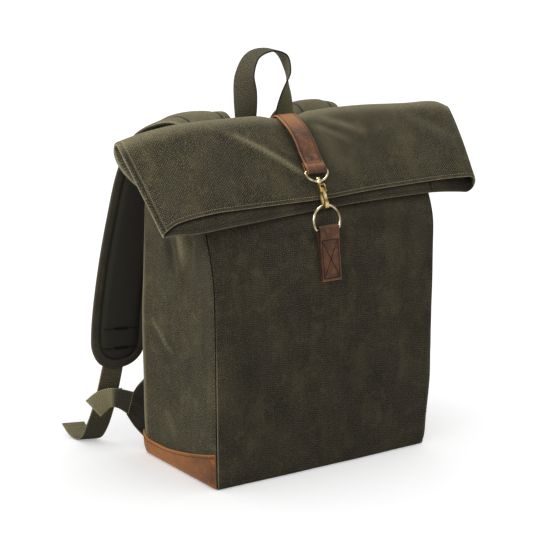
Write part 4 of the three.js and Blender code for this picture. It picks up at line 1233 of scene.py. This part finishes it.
def strap_path():
    """The strap's middle line over the fold, round the eye's bar and back, and how many rows come first."""
    rows = [("closing", t) for t in np.linspace(0.6, 1, 12)]
    rows += [("fold", t) for t in np.linspace(0.1, 1, 10)]
    rows += [("flap", t) for t in np.linspace(0.03, 0.5, 16)]
    place = np.array([FOLD_SHIFT - BACK_MIDDLE])
    bed = np.concatenate([cloth_mid(place, *row) for row in rows]) * np.array([0, 1, 1])
    path = bed - level_frames(bed, STRAP_WIDTH, LEATHER)[2] * (CANVAS / 2 + STRAP_GAP + LEATHER / 2)
    ends = np.concatenate([cloth_mid(place, "flap", t) for t in (0.6, 0.7)])
    out = -np.cross(RIGHT, unit(ends[1] - ends[0]))
    down = np.cross(RIGHT, out)
    radius = EYE_WIRE + TOUCH + LEATHER / 2
    angle = np.linspace(0, math.pi, 14)[:, None]
    loop = EYE_BAR + radius * (out * np.cos(angle) + down * np.sin(angle))
    last = loop[-1] - down * np.linspace(2, STRAP_TURN_BACK, 4)[:, None]
    path = join(path, mix(path[-1], loop[0], np.linspace(0, 1, 9)[1:-1, None]))
    run = distance(path)
    over = np.clip((run - run[STRAP_ARCH_ROW]) / (run[-1] - run[STRAP_ARCH_ROW]), 0, 1)
    arch = STRAP_ARCH * np.sin(math.pi * over) ** 1.3
    path = path - level_frames(path, STRAP_WIDTH, LEATHER)[2] * arch[:, None]
    return join(path, loop, last), len(path)


def closure_strap():
    path, free = strap_path()
    frames = level_frames(path, STRAP_WIDTH, LEATHER)
    rows = np.arange(len(path))
    # Paler at the bend over the fold, a painted highlight, and a paler band by the turned end
    rub_and_highlight = 0.75 * hump(rows, STRAP_BEND_ROW, 6) + 0.6 * hump(rows, free - 2.5, 1.0)
    band("closure_strap_look", frames, brown_leather, "leather", LEATHER_SHAPE, rub_and_highlight, (0.45, 0.35))
    face = -frames[2]
    run = distance(path)
    places = np.linspace(8, run[free] - STRAP_CROSS, 60)
    seat = placed(path + face * (LEATHER / 2 + STITCH_PROUD), run, places)
    out = placed(face, run, places)
    lines = [(seat + RIGHT * (hand * (STRAP_WIDTH / 2 - STRAP_STITCH)), out) for _, hand in SIDES]
    cross = seat[-1] + np.linspace(-1, 1, 9)[:, None] * RIGHT * (STRAP_WIDTH / 2 - 3)
    lines.append((cross, np.broadcast_to(out[-1], cross.shape)))
    stitches("strap_stitches", lines, dark_thread, "leather", pitch=3.6, length=2.6, radius=0.4)


closure_strap()


def hook_place(points):
    """From the hook's own frame, whose -Z runs down the hook, to the bag's."""
    c, s = math.cos(HOOK_TILT), math.sin(HOOK_TILT)
    turn = np.array([[1, 0, 0], [0, c, s], [0, -s, c]])
    return points @ turn.T + EYE_BAR - EYE_REACH * np.array([0, s, c])


def lathe(profile, sides):
    """Points and faces of a turned ring about Z, from a closed outline of radius and height."""
    points = np.array([[r * math.cos(a), r * math.sin(a), z] for a in circle(sides) for r, z in profile])
    return points, ring_faces(np.arange(len(points)).reshape(sides, len(profile)).T, True)


def rounded(path, count, passes):
    """A closed loop with its corners softened, in even steps."""
    closed = join(path, path[:1])
    run = distance(closed)
    even = placed(closed, run, np.linspace(0, run[-1], count, endpoint=False))
    for _ in range(passes):
        even = (np.roll(even, 1, axis=0) + 2 * even + np.roll(even, -1, axis=0)) / 4
    return even


def swivel_eye():
    angle = np.linspace(0, math.pi, 33)
    bow = xyz(EYE_HALF_WIDTH * np.cos(angle), 0, EYE_REACH * (1 - np.sin(angle)))
    bar = xyz(np.linspace(-EYE_HALF_WIDTH, EYE_HALF_WIDTH, 9)[1:-1], 0, EYE_REACH)
    wire = hook_place(rounded(join(bow, bar), 90, 16))
    half = [
        (SWIVEL_BORE, SWIVEL_HALF), (SWIVEL_BOSS - SWIVEL_SOFT, SWIVEL_HALF),
        (SWIVEL_BOSS, SWIVEL_HALF - SWIVEL_SOFT),
    ]
    profile = [(r, -z) for r, z in half] + half[::-1]
    points, faces = lathe(profile, 24)
    boss = hook_place(points), faces
    tube("swivel_eye_look", wire, EYE_WIRE_LOOK, 14, ring_brass, "pale_brass", boss)


def d_ring():
    middle = np.linalg.norm(RING_TOP - RING_BAR) - RING_RADIUS
    opening = math.asin(middle / RING_RADIUS)
    angle = np.linspace(-opening, math.pi + opening, 61)
    bow = xyz(RING_RADIUS * np.cos(angle), 0, middle + RING_RADIUS * np.sin(angle))
    bar = xyz(np.linspace(bow[-1, 0], bow[0, 0], 13)[1:-1], 0, 0)
    path = join(bow, bar)
    path = RING_BAR + path[:, :1] * RIGHT + path[:, 2:] * unit(RING_TOP - RING_BAR)
    tube("d_ring_look", path, RING_WIRE_LOOK, 16, ring_brass, "pale_brass")


swivel_eye()
d_ring()


# Ring tab

def over_front(start, end, count, off):
    """A line of points off the middle of the front."""
    z = np.linspace(start, end, count)
    return body_points(np.zeros_like(z), z) + FRONT * off


def ring_tab():
    lift = CANVAS / 2 + TOUCH + TAB_LEATHER / 2
    back = over_front(TAB_LOW, RING_BAR[2] - TAB_NECK, 16, lift)
    angle = np.linspace(0, math.pi, 14)
    loop = RING_BAR + (RING_WIRE + TOUCH + TAB_LEATHER / 2) * xyz(0, np.cos(angle), np.sin(angle))
    front = over_front(RING_BAR[2] - TAB_PINCH, TAB_LOW, 14, lift + TAB_LEATHER + TOUCH)
    path = spline(join(back, loop, front), np.linspace(0, 1, 90))
    frames = level_frames(path, TAB_WIDTH, TAB_LEATHER)
    # A paler lower edge, a painted highlight along the right edge and painted shade on the left edge, which
    # lies in shadow
    low_edge = 0.5 * fall(path[:, 2], TAB_LOW, TAB_LOW + 3)
    band("ring_tab_look", frames, tab_leather, "leather", LEATHER_SHAPE, low_edge, (0, 0.5), (0, 0.8))
    high, low, side = RING_BAR[2] - TAB_PINCH / 2, TAB_LOW + TAB_STITCH, TAB_WIDTH / 2 - STRAP_STITCH
    outer = path[int(np.argmax(path[:, 2])):][::-1]
    box = [(-side, high), (side, high), (side, low), (-side, low)]
    runs = [(box[n], box[(n + 1) % 4]) for n in range(4)] + [(box[0], box[2]), (box[1], box[3])]
    lines = []
    t = np.linspace(0, 1, 20)
    for (x1, z1), (x2, z2) in runs:
        z = mix(z1, z2, t)
        y = np.interp(z, outer[:, 2], outer[:, 1]) - TAB_LEATHER / 2 - STITCH_PROUD
        line = xyz(mix(x1, x2, t), y, z)
        lines.append((line, np.broadcast_to(np.array([0, -1.0, 0.05]), line.shape)))
    stitches("tab_stitches", lines, dark_thread, "leather", pitch=2.7, length=2.6, radius=0.42)


ring_tab()


# Carry handle

def sewn_points(place, shares, lift, hand):
    """Where a strap is sewn to the back, a lift off the cloth."""
    s = np.array([hand * (BACK_MIDDLE - place)])
    return np.concatenate([
        cloth_mid(s, "closing", at) + cloth_row(s, "closing", at)[1] * lift for at in shares
    ])


def carry_handle():
    sides = []
    for _, hand in SIDES:
        sewn = sewn_points(HANDLE_PLACE, HANDLE_SEWN, HANDLE_LIFT, hand)
        sewn[:, 0] = hand * HANDLE_PLACE
        sides.append(join(sewn, columns(HANDLE, "x y z") * np.array([hand, 1, 1])))
    rows = join(sides[0], sides[1][-2::-1])
    twist = join([0, 0], HANDLE["twist"])
    twist = join(twist, twist[-2::-1])
    count = 150
    share = np.linspace(0, 1, count)
    point = spline(rows, share)
    way = unit(np.gradient(point, axis=0))
    turn = np.interp(share * (len(rows) - 1), np.arange(len(rows)), twist)[:, None]
    outward = unit(xyz(point[:, 0], 0, np.maximum(point[:, 2] - HANDLE_CENTRE, 0)))
    across = unit(np.cross(mix(FRONT, outward, turn), way))
    frames = point, across, np.cross(across, way), np.full(count, HANDLE_WIDTH), np.full(count, WEBBING)
    # Paler towards the right, the whole handle a little darker, and painted shade along its inner edge, where
    # its thickness is seen in shadow; the first edge's negative value keeps that edge from paling
    rub_and_highlight = 0.4 * smooth(point[:, 0], 2, 20)
    band("carry_handle_look", frames, olive_webbing, "webbing", HANDLE_SHAPE, rub_and_highlight, (-0.4, 0.1), (0.2, 1))


carry_handle()


# Shoulder pads

def pad_frames(hand):
    free = columns(PAD, "x y z") * np.array([hand, 1, 1])
    free[:, 0] += PAD["shift"] - max(hand, 0) * PAD["lean"]
    rows = join(sewn_points(PAD_PLACE, PAD_SEWN, PAD_LIFT, hand), free)
    sizes = {
        "row": np.arange(len(rows), dtype=float),
        "width": join([PAD_SEWN_WIDTH] * 2, PAD["width"]),
        "thick": join([PAD_SEWN_THICK] * 2, PAD["thick"]),
    }
    share = 1 - (1 - np.linspace(0, 1, PAD_ROWS)) ** PAD_CROWDING
    point = spline(rows, share)
    way = unit(np.gradient(point, axis=0))
    across = unit(RIGHT - way * way[:, :1])
    size = read(sizes, "row", share * (len(rows) - 1))
    return point, across, np.cross(across, way), size["width"], size["thick"]


def pad_over(left):
    """How far into the pad's rounded end a place is, by the distance that is left to it."""
    return np.clip(1 - left / PAD_END, 0, 1)


def pad_edge(off, left, half):
    """Distance from the pad's edge of a place off its centre line."""
    reach = ((np.abs(off) / half) ** PAD_ROUND + pad_over(left) ** PAD_ROUND) ** (1 / PAD_ROUND)
    return np.maximum(1 - reach, 0) * half


def around(inner, outer):
    """Values round the pad: across its inner face, then back over its outer one."""
    return np.concatenate([inner, outer[:, -2:0:-1]], axis=1)


def pad_arch(side, point):
    """How far the pad's edges droop, row by row."""
    return PAD_DROOP[side] * smooth(point[:, 1], *PAD_TOP_Y) * smooth(point[:, 2], *PAD_TOP_Z)


def shoulder_pad(side, hand):
    frames = pad_frames(hand)
    point, across, face, width, thick = frames
    length = distance(point)
    left = length[-1] - length
    turn = np.linspace(-math.pi / 2, math.pi / 2, PAD_STEPS)
    outline = np.maximum(1 - pad_over(left) ** PAD_ROUND, 0.002) ** (1 / PAD_ROUND)
    off = np.sin(turn) * (width / 2 * outline)[:, None]
    edge = pad_edge(off, left[:, None], width[:, None] / 2)
    full = read(PAD_FULL, "edge", edge)
    middle = point[:, None] + across[:, None] * off[..., None]
    middle[..., 2] -= pad_arch(side, point)[:, None] * (off / PAD_HALF) ** 2
    lift = face[:, None] * (thick[:, None] / 2)[..., None]
    rings = around(middle - lift * full["inner"][..., None], middle + lift * full["outer"][..., None])
    uv = np.stack(np.broadcast_arrays(around(off, off), length[:, None]), axis=-1)
    mask = smooth(edge, PAD_BORDER + 0.2, PAD_BORDER + 0.9) * smooth(length, *PAD_LINING_START)[:, None]
    lining = around(np.maximum(mask, 0.6), 0 * mask)
    groove = hump(edge, PAD_BORDER, 1.0)
    # The crest, which faces up, gets a painted highlight, and the edges are paler
    crest = 0.2 * smooth(point[:, 2], *PAD_CREST_Z)[:, None]
    wear = around(0.18 * np.exp(-edge), crest + 0.3 * np.exp(-edge))
    faces = ring_faces(np.arange(wear.size).reshape(wear.shape))
    pad = new_mesh(f"shoulder_pad_{side}_look", rings.reshape(-1, 3), faces, uv.reshape(-1, 2), pad_canvas,
                   "pad_canvas", wear=wear, lining=lining, groove=around(groove, groove))
    pad_seams(side, frames)


def on_pad(side, frames, offs, lefts, way, share):
    """Places on one face of the pad, by distances off its middle and left to its end."""
    point, across, face, _, thick = frames
    length = distance(point)
    run = length[-1] - lefts
    out = unit(placed(face, length, run)) * way
    half = np.interp(run, length, thick)[:, None] / 2
    place = placed(point, length, run) + placed(across, length, run) * offs[:, None] + out * half * share
    place[:, 2] -= np.interp(run, length, pad_arch(side, point)) * (offs / PAD_HALF) ** 2
    return place, out


def pad_seams(side, frames):
    """The border's stitches on both faces, and the two sewn bars of the inner face."""
    inset = 1 - PAD_BORDER / PAD_HALF
    runs = np.linspace(distance(frames[0])[-1] - PAD_SEAM_START, PAD_END, 140)
    arc = np.linspace(0, math.pi, 60)
    power = 2 / PAD_ROUND
    arc_off = inset * PAD_HALF * np.sign(np.cos(arc)) * np.abs(np.cos(arc)) ** power
    arc_left = PAD_END - inset * PAD_END * np.abs(np.sin(arc)) ** power
    straight = np.full(len(runs), inset * PAD_HALF)
    offs = join(straight, arc_off, -straight)
    lefts = join(runs, arc_left, runs[::-1])
    lines = [on_pad(side, frames, offs, lefts, way, share) for way, share in ((-1, 0.38), (1, 0.46))]
    stitches(f"pad_stitches_{side}", lines, border_thread, "pad_canvas", pitch=3.6, length=2.6, radius=0.45)
    bars = []
    for bar in PAD_BARS:
        t = np.linspace(-PAD_BAR_HALF, PAD_BAR_HALF, 60)
        bars.append(on_pad(side, frames, t * PAD_HALF, np.full(60, bar), -1, 0.97))
        zigzag = 1.8 * np.sin(np.linspace(0, 18 * math.pi, 120))
        bars.append(on_pad(side, frames, np.linspace(-8, 10, 120), bar + zigzag, -1, 1.0))
    stitches(f"pad_bars_{side}", bars, black_thread_and_shade, "pad_canvas", pitch=2.2, length=2.0, radius=0.5)


# Webbing and wings at the lower corners

def edge_frames(source, hand, share, thick):
    """Frames of a strap between its two edges."""
    flip = np.array([hand, 1, 1])
    one, two = (spline(columns(source, names) * flip, share) for names in ("x1 y1 z1", "x2 y2 z2"))
    way = np.gradient(one, axis=0) + np.gradient(two, axis=0)
    width = np.linalg.norm(two - one, axis=1)
    across = unit(two - one)
    return (one + two) / 2, across, unit(np.cross(across, way)), width, np.full(len(share), thick)


def lower_straps(side, hand):
    share = np.linspace(0, 1, 90)
    web = edge_frames(PAD_WEB, hand, share, WEBBING)
    # A paler tail, and painted shade on the middle of the webbing's run below the pad
    tail = 0.35 * smooth(share, 0.72, 0.86)
    below = 0.6 * smooth(share, 0.25, 0.4) * fall(share, 0.6, 0.74)
    band(f"pad_web_{side}_look", web, olive_webbing, "webbing", WEB_SHAPE, tail, shade=(below, 0))
    wing = edge_frames(ANCHOR_TAB, hand, np.linspace(0, 1, 26), TAB_CLOTH)
    band(f"anchor_tab_{side}_look", wing, shaded_wing_canvas, "canvas", WING_SHAPE)
    share = np.linspace(0, 1, 60)
    short = edge_frames(ANCHOR_WEB, hand, share, WEBBING)
    # The free end painted lighter as a highlight, and painted shade on the part near the wing
    end = 0.9 * smooth(share, 0.36, 0.56)
    near = 0.9 * fall(share, 0.3, 0.5)
    band(f"anchor_web_{side}_look", short, olive_webbing, "webbing", WEB_SHAPE, end, shade=(near, 0))
    lines = []
    t = np.linspace(-0.86, 0.86, 20)[:, None]
    for frames, places in ((web, (-3, -6)), (short, (-3, -5)), (wing, (-3,))):
        for n in places:
            point, across, face, width, thick = (values[n] for values in frames)
            for way in (-1, 1):
                line = point + across * (t * width / 2) + face * way * thick / 2
                lines.append((line, np.broadcast_to(face * way, line.shape)))
    stitches(f"web_stitches_{side}", lines, pale_thread, "webbing", pitch=3.0, length=2.2, radius=0.4)


for side_name, side_hand in SIDES:
    shoulder_pad(side_name, side_hand)
    lower_straps(side_name, side_hand)


# Hard pieces keep their solids, with softened edges

def soften(name, paint, width):
    obj = frame["nodes"][name]
    obj.data.materials.clear()
    obj.data.materials.append(paint.material)
    bevel = obj.modifiers.new("soft_edges", "BEVEL")
    bevel.width = width * MM
    bevel.segments = 3
    bevel.limit_method = "ANGLE"
    bevel.angle_limit = math.radians(35)
    bevel.harden_normals = True


soften("snap_hook", hook_brass, 0.5)
soften("snap_gate", hook_brass, 0.4)
for side_name, _ in SIDES:
    soften(f"strap_slider_{side_name}", slider_plastic, 0.6)


# Floor, light and camera

def look_at(obj, target):
    obj.rotation_euler = (Vector(target) - obj.location).to_track_quat("-Z", "Y").to_euler()


def area_light(name, lit, place, target, power):
    light = bpy.data.lights.new(name, "AREA")
    light.shape = "SQUARE"
    light.size = LIGHT_SIZE
    light.energy = power
    obj = bpy.data.objects.new(name, light)
    obj.location = place
    obj.light_linking.receiver_collection = lit
    bpy.context.scene.collection.objects.link(obj)
    look_at(obj, target)


def studio(scene):
    """A pale floor under a white sky, and two soft lights that fall on the bag alone."""
    lit = bpy.data.collections.new("lit")
    for obj in scene.objects:
        if obj.type == "MESH":
            lit.objects.link(obj)
    scene.view_settings.view_transform = "Standard"
    scene.world = bpy.data.worlds.new("studio")
    scene.world.use_nodes = True
    sky = scene.world.node_tree.nodes["Background"].inputs
    sky["Color"].default_value = (1, 1, 1, 1)
    sky["Strength"].default_value = 1.0
    bpy.ops.mesh.primitive_plane_add(size=FLOOR_SIZE, location=(0, 0, FLOOR_Z))
    floor = bpy.context.object
    floor.name = "floor"
    white = Paint("floor_white", 0.9, Specular_IOR_Level=0.0, Base_Color=(0.9, 0.9, 0.9, 1),
                  Emission_Color=(1, 1, 1, 1), Emission_Strength=0.27)
    floor.data.materials.append(white.material)
    for name, light in LIGHTS.items():
        area_light(name, lit, **light)


def add_camera(scene):
    camera = bpy.data.cameras.new("camera")
    camera.lens = CAMERA_LENS
    camera.sensor_width = CAMERA_SENSOR
    obj = bpy.data.objects.new("camera", camera)
    flat = math.cos(CAMERA_ELEVATION)
    x, y = math.sin(CAMERA_AZIMUTH) * flat, -math.cos(CAMERA_AZIMUTH) * flat
    away = np.array([x, y, math.sin(CAMERA_ELEVATION)])
    obj.location = (CAMERA_TARGET + CAMERA_DISTANCE * away) * MM
    scene.collection.objects.link(obj)
    look_at(obj, CAMERA_TARGET * MM)
    obj.rotation_euler.rotate_axis("Z", CAMERA_ROLL)
    scene.camera = obj


studio(bpy.context.scene)
add_camera(bpy.context.scene)
